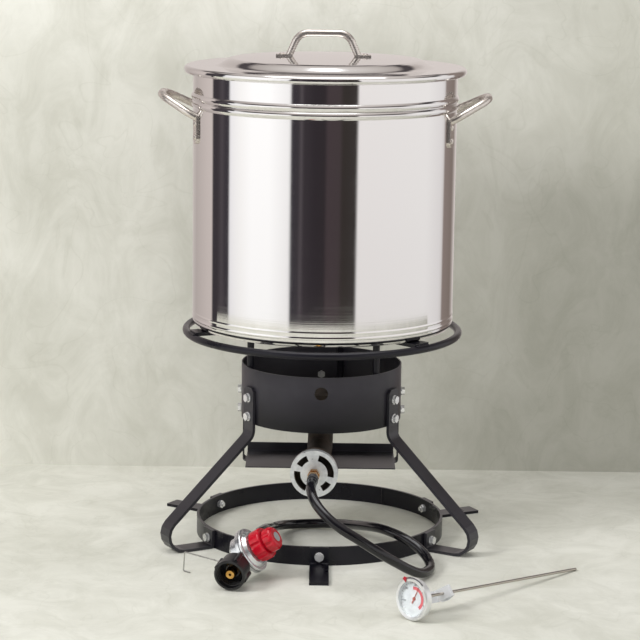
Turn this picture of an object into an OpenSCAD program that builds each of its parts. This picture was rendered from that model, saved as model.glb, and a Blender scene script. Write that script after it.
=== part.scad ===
// Turkey fryer kit: a stainless pot with a lid on a bolt-together propane cooker stand,
// with the gas hose and its regulator, and a dial thermometer lying beside the stand.
// Millimetres, +Z up. The origin is on the floor, on the stand's own vertical axis.
// The front of the stand faces -Y. An azimuth is measured from the front towards +X.

/* [Pot and lid] */
// Outer diameter of the pot wall
pot_d = 356; // [330:1:366]
// Height of the pot from its underside to the top of its rim
pot_h = 352; // [250:1:420]
// Thickness of the pot's sheet
pot_wall = 1.2; // [0.8:0.1:2]
// Radius of the pot's bottom corner
pot_corner_r = 10; // [8:1:14]
// Distance from the pot's rim down to the lower edge of its double bead
bead_drop = 55; // [45:1:90]
// How far the beads stand out of the wall
bead_out = 2.5; // [1:0.1:3]
// Rod diameter of the pot's side handles
pot_handle_d = 10; // [8:0.5:11]
// How far a side handle reaches out from the pot wall
pot_handle_reach = 47; // [38:1:60]
// Distance between the feet of a side handle
pot_handle_span = 116; // [100:1:140]
// Turn of the two side handles about the pot's axis
pot_handle_turn = 2; // [-10:1:10]
// Thickness of the lid's sheet
lid_wall = 1.2; // [0.8:0.1:2]
// Height of the lid's dome above its flat ledge
lid_dome = 13; // [8:0.5:24]
// Rod diameter of the lid's handle
lid_handle_d = 9.5; // [8:0.5:10]
// Height of the lid handle's grip above the dome
lid_handle_h = 31; // [28:1:45]
// Distance between the lid handle's feet
lid_handle_span = 96; // [90:1:130]

/* [Cooker stand] */
// Outer diameter of the wind guard
guard_d = 220; // [200:1:250]
// Height of the wind guard
guard_h = 76; // [70:1:110]
// Height of the wind guard's lower edge above the floor
guard_z = 165; // [150:1:175]
// Sheet thickness of the wind guard and the heat shield
sheet_t = 1.6; // [1.2:0.1:2.5]
// How far the round rod ring under the pot reaches past the pot's wall
ring_out = 13.5; // [10:0.5:20]
// Rod diameter of the ring
ring_rod_d = 10; // [8:0.5:12]
// Height of the ring's centre above the floor
ring_z = 286; // [270:1:320]
// Outer diameter of the base ring
base_d = 342; // [320:1:380]
// Width of the flat bar of the legs, feet, base ring and supports
bar_w = 25.4; // [20:0.2:30]
// Thickness of the flat bar
bar_t = 4; // [3:0.5:5]
// Thickness of the base ring's flat bar
base_t = 3.2; // [2:0.2:5]
// Reach of a leg's floor bend from the stand's axis
leg_reach = 275; // [260:1:280]
// Reach of the front foot from the stand's axis
foot_reach = 260; // [230:1:300]
// Reach of the two rear feet from the stand's axis
rear_foot_reach = 250; // [230:1:300]
// Diameter of the round risers that carry the pot supports
riser_d = 9.5; // [8:0.5:11]
// Thickness of the pot support bars
support_t = 5; // [3.5:0.5:7]
// Depth from front to back of the heat shield's plate
shield_depth = 96; // [80:1:120]
// Height of the heat shield's plate above the floor
shield_z = 102; // [90:1:102]
// Thread diameter of the stand's bolts
bolt_d = 6; // [5:0.5:6]

/* [Burner and hose] */
// Height of the venturi's level run above the floor
venturi_z = 122; // [120:1:130]
// Distance from the stand's axis to the venturi's mouth
venturi_reach = 158; // [150:1:170]
// Turn of the venturi to the left of the front
venturi_turn = 3; // [0:1:8]
// Outer radius of the venturi's mixing tube
venturi_r = 17; // [15:0.5:17.5]
// Outer radius of the venturi's bell mouth
bell_r = 30; // [27:0.5:34]
// Outer diameter of the gas hose
hose_d = 13; // [11:0.5:14]

/* [Regulator] */
// Radius of the regulator's clamped flange
flange_r = 30; // [28:0.5:34]
// Radius of the pressure knob's lower tier
knob_r = 21; // [18:0.5:24]
// Outer radius of the tank nut's sleeve
nut_r = 20.5; // [19:0.25:21]
// Length of the tank nut
nut_len = 34; // [30:1:36]

/* [Thermometer] */
// Length of the stem from its tip to the dial case
stem_len = 307; // [250:1:330]
// Diameter of the stem
stem_d = 3.8; // [3:0.1:4.5]
// Outer radius of the dial's bezel
bezel_r = 26.5; // [24:0.5:30]

/* [Hidden] */
$fn = 64;
// Clearances: a turning fit, a bolt in its hole, and loose pieces that lie side by side
turn_gap = 0.05;
bolt_gap = 0.25;
loose_gap = 0.3;
// A piece of another body that rests on a flat face
rest_gap = 0.02;
// A cut reaches this far past the face that it opens
past = 1;
// A bent rod swells by this much in its bends, and its straight runs reach this far into them
bend_swell = 0.15;
bend_reach = 1;

// The floor touches the underside of the legs and the feet
leg_azimuths = [60, -60, 180];
foot_azimuths = [0, 117, -121];
support_azimuths = [45, -69, 165];
side_azimuths = [90, -90];

// Pot and lid, worked out from the sizes above
pot_r = pot_d / 2;
weld_depth = 1.8;
pot_z = ring_z + ring_rod_d / 2 - weld_depth + support_t + rest_gap;
rim_out = 3;
rim_roll_r = 2.8;
bead_h = 10;
bead_height = pot_h - bead_drop;
low_bead_h = 4;
low_bead_out = 0.5;
low_bead_heights = [pot_corner_r + 1, pot_corner_r + 8];
handle_tab_w = 16;
handle_tab_t = 3;
handle_tab_h = 38;
handle_tab_top = bead_height - 8;
handle_tilt = 28;
handle_bend_r = 38;
handle_out = 15;
handle_corner_in = 29;
rivet_d = 5;
rivet_heights = [handle_tab_top - 11, handle_tab_top - 29];
rivet_head_r = 4.2;
rivet_head_h = 2.2;
foot_angle = asin(pot_handle_span / 2 / pot_r);

lid_z = pot_z + pot_h;
lid_dome_r = pot_r - 54;
lid_ledge_r = pot_r - 28;
lid_crown = 3;
lid_step = lid_dome - lid_crown;
lid_roll_r = 5.2;
lid_gap = 4;
lid_roll_at = pot_r + rim_out + lid_gap;
lid_low = lid_wall - 2 * lid_roll_r;
lid_tab_len = 16;
lid_tab_w = 14;
lid_tab_t = 2.4;
lid_grip_in = 15;
lid_bend_r = 20;
lid_handle_off = -3;

// Stand, worked out from the sizes above
guard_r = guard_d / 2;
guard_ri = guard_r - sheet_t;
base_r = base_d / 2;
ring_r = pot_r + ring_out - ring_rod_d / 2;
bolt_rows = [guard_z + 10, guard_z + 36];
plate_top = guard_z + 51;
plate_cut = 5;
leg_bend_z = guard_z - 15;
leg_top_bend_r = 18;
leg_floor_bend_r = 22;
upturn_bend_r = 4;
base_bolt_z = 13;
support_z = ring_z + ring_rod_d / 2 - weld_depth;
support_in = guard_ri - 20;
riser_r = guard_ri - riser_d / 2 - turn_gap;
riser_foot_z = guard_z + 18;
light_hole_d = 18;
light_hole_z = guard_z + 54;
hex_w = 10;
hex_h = 4;
washer_r = 6.3;
washer_t = 1.2;
nut_h = 5;
thread_end = 3;

// The heat shield's straps lie inside the guard, and the burner bracket inside those
strap_x = sqrt(guard_ri * guard_ri - bar_w * bar_w / 4) - 0.2;
shield_flange_h = 13;
shield_bend_r = 4;
shield_inset = 4;
bracket_x = strap_x - sheet_t;
bracket_t = 3;
bracket_z = guard_z - 5;
bracket_top = bolt_rows[1] + 9;
bracket_eye_r = 38;
burner_bolt_r = 26;

// Burner casting
neck_wall = 4;
elbow_r = 30;
burner_z = bracket_z + bracket_t / 2;
burner_flange_r = 34;
burner_flange_h = 5;
burner_head_r = 58;
burner_head_h = 44;
burner_wall = 4;
cap_t = 4;
throat_r = venturi_r - 4.5;
bell_len = 26;
boss_r = 9;
spud_r = 5;
journal_r = 6;
journal_len = 3;
shutter_t = 1.2;
shutter_gap = 0.6;
shutter_lip_gap = 0.5;
shutter_lip = 8;
shutter_r = bell_r + shutter_lip_gap + shutter_t;
slot_in = 0.57 * shutter_r;
slot_out = 0.83 * shutter_r;
shutter_slots = [[-10, 75], [172, 243], [113, 151], [298, 329]];
shutter_tab_at = 95;
spud_hex_w = 14;
spud_hex_h = 8;
collar_r = 5.5;
collar_h = 6;
swivel_hex_w = 13.5;
swivel_hex_h = 9;
ferrule_r = hose_d / 2 + 0.7;
ferrule_len = 15;
hose_start = venturi_reach + journal_len + spud_hex_h + collar_h + swivel_hex_h + ferrule_len;

// Regulator: its own X runs out of the tank nut's mouth, its own Z up the knob's axis
reg_at = [-98, -229, 31];
reg_turn = 14;
reg_dip = 8;
reg_lean = 33;
body_r = 24;
body_low = -9;
flange_z = 8;
flange_h = 4;
diaphragm_t = 1;
bonnet_z = flange_z + flange_h + diaphragm_t;
bonnet_flange_h = 3;
bonnet_dome_h = 6;
bonnet_neck_r = 12;
bonnet_neck_h = 12;
bonnet_wall = 3;
knob_z = bonnet_z + bonnet_flange_h + bonnet_dome_h + 0.8;
knob_tier_h = 15.5;
knob_groove_h = 1.6;
knob_top_h = 14;
knob_top_r = knob_r - 5;
knob_lobes = 8;
knob_crown = 6;
screw_r = 4.5;
cap_r = 6.5;
cap_h = 1.5;
port_r = 10.5;
port_len = 33;
outlet_len = 41;
nipple_r = 7.5;
nipple_stem_r = 6;
nipple_collar_r = 11;
nipple_len = 64;
nut_at = port_len + loose_gap;
nut_back = 8;
nut_mouth_r = nut_r - 3.4;
nut_ears = 4;
ear_r = 3.2;
wire_d = 1.8;
wire_ring_at = flange_r + 1.8;

// Thermometer: its own X runs from the stem's tip up to the dial, and the dial faces +X
stem_r = stem_d / 2;
stem_tip = [340, -177, stem_r + 0.1];
stem_turn = -135.5;
marker_t = 0.8;
bezel_h = 7;
case_r = bezel_r - 2;
case_h = 9;
case_wall = 1.2;
case_hub_r = 5;
case_hub_h = 9;
stem_rise = asin((bezel_r + loose_gap - stem_r) / (stem_len + case_h));
dial_r = bezel_r - 3.4;
dial_t = 0.8;
lens_t = 1.5;
needle_len = 17;
needle_tail = 7;
needle_at = -23;
marker_at = 27;
marker_arc = 66;
marker_saddle = 6;
marker_wire_h = 1.4;
clip_t = 0.8;
clip_w = 15;
clip_turn = -53;

// Route of the gas hose, from the burner's ferrule to the regulator's ferrule
hose_route = [
    [-12, -226, 121], [-11, -241, 118], [-7, -255, 111], [2, -267, 101], [15, -275, 90],
    [31, -279, 79], [49, -280, 68], [67, -278, 56], [84, -273, 44], [101, -264, 32],
    [117, -251, 20], [131, -235, 11], [141, -216, 8], [146, -196, 8], [144, -177, 12],
    [136, -162, 19], [123, -151, 27], [109, -142, 33], [95, -130, 36], [82, -114, 36],
    [70, -95, 33], [59, -73, 28], [48, -48, 22], [35, -23, 16], [17, -3, 11],
    [-6, 7, 8], [-30, 3, 8], [-49, -13, 11], [-59, -38, 16], [-64, -63, 21],
    [-67, -87, 27], [-70, -110, 33], [-73, -130, 38], [-77, -147, 40]
];
hose_sides = 12;

// Helper functions for paths and profiles
function unit(v) = v / norm(v);
function reverse(list) = [for (i = [len(list) - 1 : -1 : 0]) list[i]];
function arc(centre, r, from, to, steps) =
    [for (i = [0 : steps]) let (a = from + (to - from) * i / steps) centre + r * [cos(a), sin(a)]];
function half_corner(a, b, c) = acos(unit(a - b) * unit(c - b)) / 2;
function corner_centre(a, b, c, r) = b + unit(unit(a - b) + unit(c - b)) * r / sin(half_corner(a, b, c));
function corner_cut(a, b, c, r) = r / tan(half_corner(a, b, c));
function angle_of(v) = atan2(v[1], v[0]);
function turn_between(from, to) = (to - from + 900) % 360 - 180;
function corner_arc(a, b, c, r, steps) =
    let (
        centre = corner_centre(a, b, c, r),
        cut = corner_cut(a, b, c, r),
        from = angle_of(b + unit(a - b) * cut - centre),
        to = angle_of(b + unit(c - b) * cut - centre)
    )
    arc(centre, r, from, from + turn_between(from, to), steps);
function rounded_path(points, radii) =
    [
        points[0],
        for (i = [1 : len(points) - 2])
            each corner_arc(points[i - 1], points[i], points[i + 1], radii[i - 1], 6),
        points[len(points) - 1]
    ];
function side(path, d) =
    [
        for (i = [0 : len(path) - 1])
            let (
                before = unit(i > 0 ? path[i] - path[i - 1] : path[1] - path[0]),
                after = i < len(path) - 1 ? unit(path[i + 1] - path[i]) : before,
                middle = unit(before + after)
            )
            path[i] + [-middle[1], middle[0]] * d / (middle * after)
    ];

// A radial piece is drawn along +X and turned to its azimuth
module at_azimuth(azimuth) {
    rotate([0, 0, azimuth - 90])
        children();
}

// A hole or a rod along +X
module along_x(r, from, to) {
    translate([from, 0, 0])
        rotate([0, 90, 0])
            cylinder(r = r, h = to - from);
}

module hex_along_x(width, from, to) {
    translate([from, 0, 0])
        rotate([0, 90, 0])
            cylinder(r = width / 2 / cos(30), h = to - from, $fn = 6);
}

// Flat bar bent along a path: the path's X is radial, its Y is up
module bent_bar(points, radii, t, w) {
    path = rounded_path(points, radii);
    rotate([90, 0, 0])
        linear_extrude(height = w, center = true)
            polygon(concat(side(path, t / 2), reverse(side(path, -t / 2))));
}

// Round rod bent in the XY plane
module bent_rod(points, bend_r, d) {
    last = len(points) - 1;
    function is_end(i) = i == 0 || i == last;
    function cut(i) = is_end(i) ? 0 : corner_cut(points[i - 1], points[i], points[i + 1], bend_r);
    function reach(i) = is_end(i) ? 0 : cut(i) - bend_reach;
    for (i = [0 : last - 1]) {
        run = unit(points[i + 1] - points[i]);
        from = points[i] + run * reach(i);
        to = points[i + 1] - run * reach(i + 1);
        translate([from[0], from[1], 0])
            rotate([0, 0, angle_of(run)])
                along_x(d / 2, 0, norm(to - from));
    }
    for (i = [1 : last - 1]) {
        centre = corner_centre(points[i - 1], points[i], points[i + 1], bend_r);
        from = angle_of(points[i] + unit(points[i - 1] - points[i]) * cut(i) - centre);
        to = angle_of(points[i] + unit(points[i + 1] - points[i]) * cut(i) - centre);
        turn = turn_between(from, to);
        translate([centre[0], centre[1], 0])
            rotate([0, 0, min(from, from + turn)])
                rotate_extrude(angle = abs(turn))
                    translate([bend_r, 0])
                        circle(d = d + 2 * bend_swell, $fn = 32);
    }
}

module ring_sector(r_in, r_out, from, to, h) {
    rotate([0, 0, from])
        rotate_extrude(angle = to - from)
            translate([r_in, 0])
                square([r_out - r_in, h]);
}

// Round tube swept along a list of points, with the tangents of its two ends given
module swept_tube(points, first_way, last_way, r, sides) {
    last = len(points) - 1;
    rings = [
        for (i = [0 : last])
            let (
                way = unit(i == 0 ? first_way : i == last ? last_way : points[i + 1] - points[i - 1]),
                across = unit(cross(way, [0, 0, 1])),
                above = cross(across, way)
            )
            for (k = [0 : sides - 1])
                points[i] + r * (cos(360 * k / sides) * across + sin(360 * k / sides) * above)
    ];
    walls = [
        for (i = [0 : last - 1], k = [0 : sides - 1])
            let (a = i * sides + k, b = i * sides + (k + 1) % sides)
            each [[a, b, a + sides], [b, b + sides, a + sides]]
    ];
    caps = [
        for (k = [1 : sides - 2])
            each [[0, k + 1, k], [last * sides, last * sides + k, last * sides + k + 1]]
    ];
    polyhedron(rings, concat(walls, caps));
}

// Wind guard, ring, supports, legs and feet
module wind_guard() {
    color("#26262a")
        difference() {
            translate([0, 0, guard_z])
                cylinder(r = guard_r, h = guard_h, $fn = 128);
            translate([0, 0, guard_z - past])
                cylinder(r = guard_ri, h = guard_h + 2 * past, $fn = 128);
            for (azimuth = concat(leg_azimuths, side_azimuths), z = bolt_rows)
                at_azimuth(azimuth)
                    translate([0, 0, z])
                        along_x(bolt_d / 2 + bolt_gap, guard_ri - 3, guard_r + 3);
            at_azimuth(0)
                translate([0, 0, light_hole_z])
                    along_x(light_hole_d / 2, guard_ri - 3, guard_r + 3);
        }
}

module ring_solid() {
    translate([0, 0, ring_z])
        rotate_extrude($fn = 128)
            translate([ring_r, 0])
                circle(d = ring_rod_d, $fn = 32);
}

module top_ring() {
    color("#2b2b2f")
        ring_solid();
}

module pot_support(azimuth) {
    color("#242428") {
        difference() {
            at_azimuth(azimuth)
                translate([support_in, -bar_w / 2, support_z])
                    cube([ring_r - support_in, bar_w, support_t]);
            ring_solid();
        }
        at_azimuth(azimuth)
            translate([riser_r, 0, riser_foot_z])
                cylinder(d = riser_d, h = support_z - riser_foot_z);
    }
}

module leg(azimuth) {
    plate_x = guard_r + bar_t / 2;
    foot_x = base_r + bar_t / 2;
    color("#2a2a2e")
        at_azimuth(azimuth)
            difference() {
                bent_bar(
                    [
                        [plate_x, plate_top], [plate_x, leg_bend_z], [leg_reach - bar_t / 2, bar_t / 2],
                        [foot_x, bar_t / 2], [foot_x, bar_w]
                    ],
                    [leg_top_bend_r, leg_floor_bend_r, upturn_bend_r], bar_t, bar_w
                );
                for (z = bolt_rows)
                    translate([0, 0, z])
                        along_x(bolt_d / 2 + bolt_gap, guard_r - 3, guard_r + bar_t + 3);
                translate([0, 0, base_bolt_z])
                    along_x(bolt_d / 2 + bolt_gap, base_r - 3, base_r + bar_t + 3);
                for (s = [-1, 1])
                    translate([guard_r - past, s * bar_w / 2, plate_top])
                        rotate([45, 0, 0])
                            translate([0, -plate_cut * sqrt(0.5), -plate_cut * sqrt(0.5)])
                                cube([bar_t + 2 * past, plate_cut * sqrt(2), plate_cut * sqrt(2)]);
            }
}

module base_ring() {
    color("#232327")
        difference() {
            cylinder(r = base_r, h = bar_w, $fn = 128);
            translate([0, 0, -past])
                cylinder(r = base_r - base_t, h = bar_w + 2 * past, $fn = 128);
            for (azimuth = concat(leg_azimuths, foot_azimuths))
                at_azimuth(azimuth)
                    translate([0, 0, base_bolt_z])
                        along_x(bolt_d / 2 + bolt_gap, base_r - base_t - 3, base_r + 3);
        }
}

module foot(azimuth, reach) {
    upright_x = base_r + bar_t / 2;
    color("#232327")
        at_azimuth(azimuth)
            difference() {
                bent_bar(
                    [[upright_x, bar_w], [upright_x, bar_t / 2], [reach, bar_t / 2]],
                    [upturn_bend_r], bar_t, bar_w
                );
                translate([0, 0, base_bolt_z])
                    along_x(bolt_d / 2 + bolt_gap, base_r - 3, base_r + bar_t + 3);
            }
}

// Heat shield: a plate under the burner on two straps that bolt to the guard
module heat_shield() {
    strap_mid = strap_x - sheet_t / 2;
    shield_half = strap_mid - shield_inset;
    color("#36363a")
        difference() {
            union() {
                bent_bar(
                    [
                        [-strap_mid, bracket_top], [-strap_mid, shield_z],
                        [strap_mid, shield_z], [strap_mid, bracket_top]
                    ],
                    [shield_bend_r, shield_bend_r], sheet_t, bar_w
                );
                translate([-shield_half, -shield_depth / 2, shield_z - sheet_t / 2])
                    cube([2 * shield_half, shield_depth, sheet_t]);
                translate([-shield_half, shield_depth / 2 - sheet_t, shield_z - sheet_t / 2])
                    cube([2 * shield_half, sheet_t, shield_flange_h]);
            }
            for (azimuth = side_azimuths, z = bolt_rows)
                at_azimuth(azimuth)
                    translate([0, 0, z])
                        along_x(bolt_d / 2 + bolt_gap, strap_x - 6, strap_x + 3);
        }
}

module burner_bracket() {
    end_x = bracket_x - bracket_t / 2;
    color("#2a2a2e")
        difference() {
            union() {
                bent_bar(
                    [[-end_x, bracket_top], [-end_x, bracket_z], [end_x, bracket_z], [end_x, bracket_top]],
                    [4, 4], bracket_t, bar_w
                );
                translate([0, 0, bracket_z - bracket_t / 2])
                    cylinder(r = bracket_eye_r, h = bracket_t);
            }
            translate([0, 0, bracket_z - bracket_t])
                cylinder(r = venturi_r + past, h = 2 * bracket_t);
            for (x = [-burner_bolt_r, burner_bolt_r])
                translate([x, 0, bracket_z - bracket_t])
                    cylinder(d = bolt_d + 2 * bolt_gap, h = 2 * bracket_t);
            for (azimuth = side_azimuths, z = bolt_rows)
                at_azimuth(azimuth)
                    translate([0, 0, z])
                        along_x(bolt_d / 2 + bolt_gap, bracket_x - 6, bracket_x + 3);
        }
}

// Bolts are drawn along +X with the head's seat at the given radius
module hex_bolt(seat, reach) {
    along_x(washer_r, seat, seat + washer_t);
    hex_along_x(hex_w, seat + washer_t, seat + washer_t + hex_h);
    along_x(bolt_d / 2, seat - reach, seat + washer_t);
}

module hex_nut(face) {
    difference() {
        hex_along_x(hex_w, face - nut_h, face);
        along_x(bolt_d / 2 + turn_gap, face - nut_h - past, face + past);
    }
}

// A nut's flat face meets the hollow wall behind it at its corners
function flat_seat(r) = sqrt(r * r - hex_w * hex_w / 3) - rest_gap;
leg_grip = bar_t + sheet_t;
side_grip = guard_r - (bracket_x - bracket_t);
base_grip = bar_t + base_t;

module guard_bolts() {
    color("#c9c9c6") {
        for (azimuth = leg_azimuths, z = bolt_rows)
            at_azimuth(azimuth)
                translate([0, 0, z])
                    hex_bolt(guard_r + bar_t, leg_grip + nut_h + thread_end);
        for (azimuth = side_azimuths, z = bolt_rows)
            at_azimuth(azimuth)
                translate([0, 0, z])
                    hex_bolt(guard_r, side_grip + nut_h + thread_end);
    }
}

module guard_nuts() {
    color("#c0c0bd") {
        for (azimuth = leg_azimuths, z = bolt_rows)
            at_azimuth(azimuth)
                translate([0, 0, z])
                    hex_nut(flat_seat(guard_ri));
        for (azimuth = side_azimuths, z = bolt_rows)
            at_azimuth(azimuth)
                translate([0, 0, z])
                    hex_nut(bracket_x - bracket_t);
    }
}

module base_bolts() {
    color("#c9c9c6")
        for (azimuth = concat(leg_azimuths, foot_azimuths))
            at_azimuth(azimuth)
                translate([0, 0, base_bolt_z])
                    hex_bolt(base_r + bar_t, base_grip + nut_h + thread_end);
}

module base_nuts() {
    color("#c0c0bd")
        for (azimuth = concat(leg_azimuths, foot_azimuths))
            at_azimuth(azimuth)
                translate([0, 0, base_bolt_z])
                    hex_nut(flat_seat(base_r - base_t));
}

module burner_bolts() {
    color("#a9a9a6")
        for (x = [-burner_bolt_r, burner_bolt_r])
            translate([x, 0, burner_z + burner_flange_h])
                rotate([0, -90, 0])
                    hex_bolt(0, burner_flange_h + bracket_t + thread_end);
}

// Burner casting: head, neck, elbow and venturi, all one hollow casting
module venturi_frame() {
    translate([0, 0, venturi_z])
        rotate([0, 0, -venturi_turn])
            rotate([90, 0, 0])
                children();
}

function venturi_profile(inset) =
    let (m = venturi_reach, b = m - bell_len)
    [
        [venturi_r - inset, elbow_r], [throat_r - inset + 2, elbow_r + 22], [throat_r - inset, elbow_r + 36],
        [throat_r - inset, b - 24], [throat_r - inset + 3, b - 14], [bell_r - inset - 8, b - 5],
        [bell_r - inset - 2, b - 0.5], [bell_r - inset, b + 3], [bell_r - inset, m]
    ];

// Elbow and venturi; the elbow is a hair wider, and the straight runs reach into it
module casting_passage(inset, extra) {
    r = venturi_r - inset;
    rotate([0, 0, -venturi_turn])
        translate([0, -elbow_r, venturi_z + elbow_r])
            rotate([90, 0, 90])
                rotate([0, 0, -90])
                    rotate_extrude(angle = 90)
                        translate([elbow_r, 0])
                            circle(r = r + 2 * bend_swell);
    profile = venturi_profile(inset);
    venturi_frame()
        rotate_extrude()
            polygon(concat(
                [[0, elbow_r - bend_reach], [r, elbow_r - bend_reach]],
                profile,
                [[profile[len(profile) - 1][0], venturi_reach + extra], [0, venturi_reach + extra]]
            ));
}

module burner_casting() {
    neck_z = venturi_z + elbow_r - bend_reach;
    bore = venturi_r - neck_wall;
    outside = [
        [0, neck_z], [venturi_r, neck_z], [venturi_r, burner_z], [burner_flange_r, burner_z],
        [burner_flange_r, burner_z + burner_flange_h], [venturi_r + 1, burner_z + burner_flange_h],
        [venturi_r + 1, burner_z + 14], [burner_head_r - 4, burner_z + 26],
        [burner_head_r, burner_z + 30], [burner_head_r, burner_z + burner_head_h],
        [0, burner_z + burner_head_h]
    ];
    inside = [
        [0, neck_z], [bore, neck_z], [bore, burner_z + 14],
        [burner_head_r - burner_wall - 4, burner_z + 30],
        [burner_head_r - burner_wall, burner_z + 33],
        [burner_head_r - burner_wall, burner_z + burner_head_h + past],
        [0, burner_z + burner_head_h + past]
    ];
    color("#4a4540")
        difference() {
            union() {
                difference() {
                    union() {
                        rotate_extrude()
                            polygon(outside);
                        casting_passage(0, 0);
                    }
                    rotate_extrude()
                        polygon(inside);
                    casting_passage(neck_wall, past);
                }
                venturi_frame() {
                    translate([0, 0, venturi_reach - 16])
                        cylinder(r = boss_r, h = 16);
                    translate([-4, -bell_r + 2.5, venturi_reach - 8])
                        cube([8, 2 * bell_r - 5, 6]);
                }
            }
            venturi_frame()
                translate([0, 0, venturi_reach - 16 - past])
                    cylinder(r = spud_r + turn_gap, h = 16 + 2 * past);
            for (x = [-burner_bolt_r, burner_bolt_r])
                translate([x, 0, burner_z - past])
                    cylinder(d = bolt_d + 2 * bolt_gap, h = burner_flange_h + 2 * past);
        }
}

module burner_cap() {
    cap_z = burner_z + burner_head_h - cap_t;
    cap_r_out = burner_head_r - burner_wall - loose_gap / 2;
    color("#45413d")
        difference() {
            translate([0, 0, cap_z])
                rotate_extrude()
                    polygon([[0, 0], [cap_r_out, 0], [cap_r_out, cap_t], [30, cap_t + 4], [0, cap_t + 5]]);
            for (i = [0 : 17])
                rotate([0, 0, i * 20])
                    translate([44, 0, cap_z - past])
                        cylinder(d = 4, h = 14, $fn = 16);
            for (i = [0 : 9])
                rotate([0, 0, i * 36])
                    translate([26, 0, cap_z - past])
                        cylinder(d = 4, h = 14, $fn = 16);
        }
}

// Air shutter: a slotted disc with a lip that turns on the orifice fitting's journal
module air_shutter() {
    face = venturi_reach + shutter_gap;
    color("#c4c6c8")
        venturi_frame() {
            difference() {
                union() {
                    translate([0, 0, face])
                        cylinder(r = shutter_r, h = shutter_t);
                    translate([0, 0, face - shutter_lip])
                        difference() {
                            cylinder(r = shutter_r, h = shutter_lip + shutter_t / 2);
                            translate([0, 0, -past])
                                cylinder(r = bell_r + shutter_lip_gap, h = shutter_lip + past);
                        }
                }
                translate([0, 0, face - past])
                    cylinder(r = journal_r + turn_gap, h = shutter_t + 2 * past);
                for (slot = shutter_slots)
                    translate([0, 0, face - past])
                        ring_sector(slot_in, slot_out, slot[0], slot[1], shutter_t + 2 * past);
            }
            rotate([0, 0, shutter_tab_at])
                translate([0.7 * shutter_r, 0, face + shutter_t / 2])
                    cylinder(r = 2.6, h = shutter_t / 2 + 1.6, $fn = 32);
        }
}

module orifice_fitting() {
    seat = venturi_reach;
    hex_at = seat + journal_len;
    collar_at = hex_at + spud_hex_h;
    swivel_at = collar_at + collar_h;
    color("#c79a55")
        venturi_frame()
            difference() {
                union() {
                    translate([0, 0, seat - 18])
                        cylinder(r = spud_r, h = 18 + past);
                    translate([0, 0, seat])
                        cylinder(r = journal_r, h = journal_len);
                    translate([0, 0, hex_at])
                        cylinder(r = spud_hex_w / 2 / cos(30), h = spud_hex_h, $fn = 6);
                    translate([0, 0, collar_at])
                        cylinder(r = collar_r, h = collar_h);
                    translate([0, 0, swivel_at])
                        cylinder(r = swivel_hex_w / 2 / cos(30), h = swivel_hex_h, $fn = 6);
                }
                translate([0, 0, seat - 18 - past])
                    cylinder(r = 0.8, h = 4, $fn = 24);
                translate([0, 0, seat - 16])
                    cylinder(r = 2.5, h = swivel_at + swivel_hex_h - seat + 16 + past);
            }
}

module ferrule_solid() {
    rotate_extrude()
        polygon([
            [2.5, 0], [ferrule_r, 0], [ferrule_r, 4], [ferrule_r - 0.8, 5], [ferrule_r - 0.8, 7],
            [ferrule_r, 8], [ferrule_r, ferrule_len], [2.5, ferrule_len]
        ]);
}

module burner_ferrule() {
    color("#2d2b2a")
        venturi_frame()
            translate([0, 0, hose_start - ferrule_len])
                ferrule_solid();
}

// Gas hose along its route, from face to face of its two ferrules
venturi_way = [-sin(venturi_turn), -cos(venturi_turn), 0];
burner_end = venturi_way * hose_start + [0, 0, venturi_z];
reg_way = [-sin(reg_turn) * cos(reg_dip), -cos(reg_turn) * cos(reg_dip), -sin(reg_dip)];
reg_end = reg_at - reg_way * (outlet_len + ferrule_len);

module gas_hose() {
    points = concat(
        [burner_end, burner_end + venturi_way * hose_d],
        hose_route,
        [reg_end - reg_way * hose_d, reg_end]
    );
    color("#1d1d20")
        swept_tube(points, venturi_way, reg_way, hose_d / 2, hose_sides);
}

// Regulator pieces in the regulator's own frame
module reg_frame() {
    translate(reg_at)
        rotate([0, 0, -90 - reg_turn])
            rotate([0, reg_dip, 0])
                rotate([reg_lean - 90, 0, 0])
                    children();
}

module regulator_ferrule() {
    color("#8f8f8c")
        reg_frame()
            translate([-outlet_len, 0, 0])
                rotate([0, -90, 0])
                    ferrule_solid();
}

module regulator_body() {
    cup = [
        [0, body_low], [body_r - 5, body_low], [body_r, body_low + 5], [body_r, flange_z],
        [flange_r, flange_z], [flange_r, flange_z + flange_h], [0, flange_z + flange_h]
    ];
    color("#b9bcc0")
        reg_frame()
            difference() {
                union() {
                    rotate_extrude()
                        polygon(cup);
                    along_x(port_r, 0, port_len);
                    along_x(port_r - 1, -outlet_len, 0);
                    hex_along_x(2 * port_r - 1, -outlet_len, -outlet_len + 10);
                }
                translate([0, 0, flange_z - 3])
                    cylinder(r = body_r - 4, h = flange_h + 3 + past);
                along_x(nipple_stem_r + turn_gap, body_r - 8, port_len + past);
                along_x(2.5, -outlet_len - past, body_r);
                translate([0, 0, 0])
                    cylinder(r = 3, h = flange_z);
            }
}

module regulator_diaphragm() {
    color("#3a3432")
        reg_frame()
            translate([0, 0, flange_z + flange_h])
                cylinder(r = flange_r - 0.6, h = diaphragm_t);
}

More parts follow.
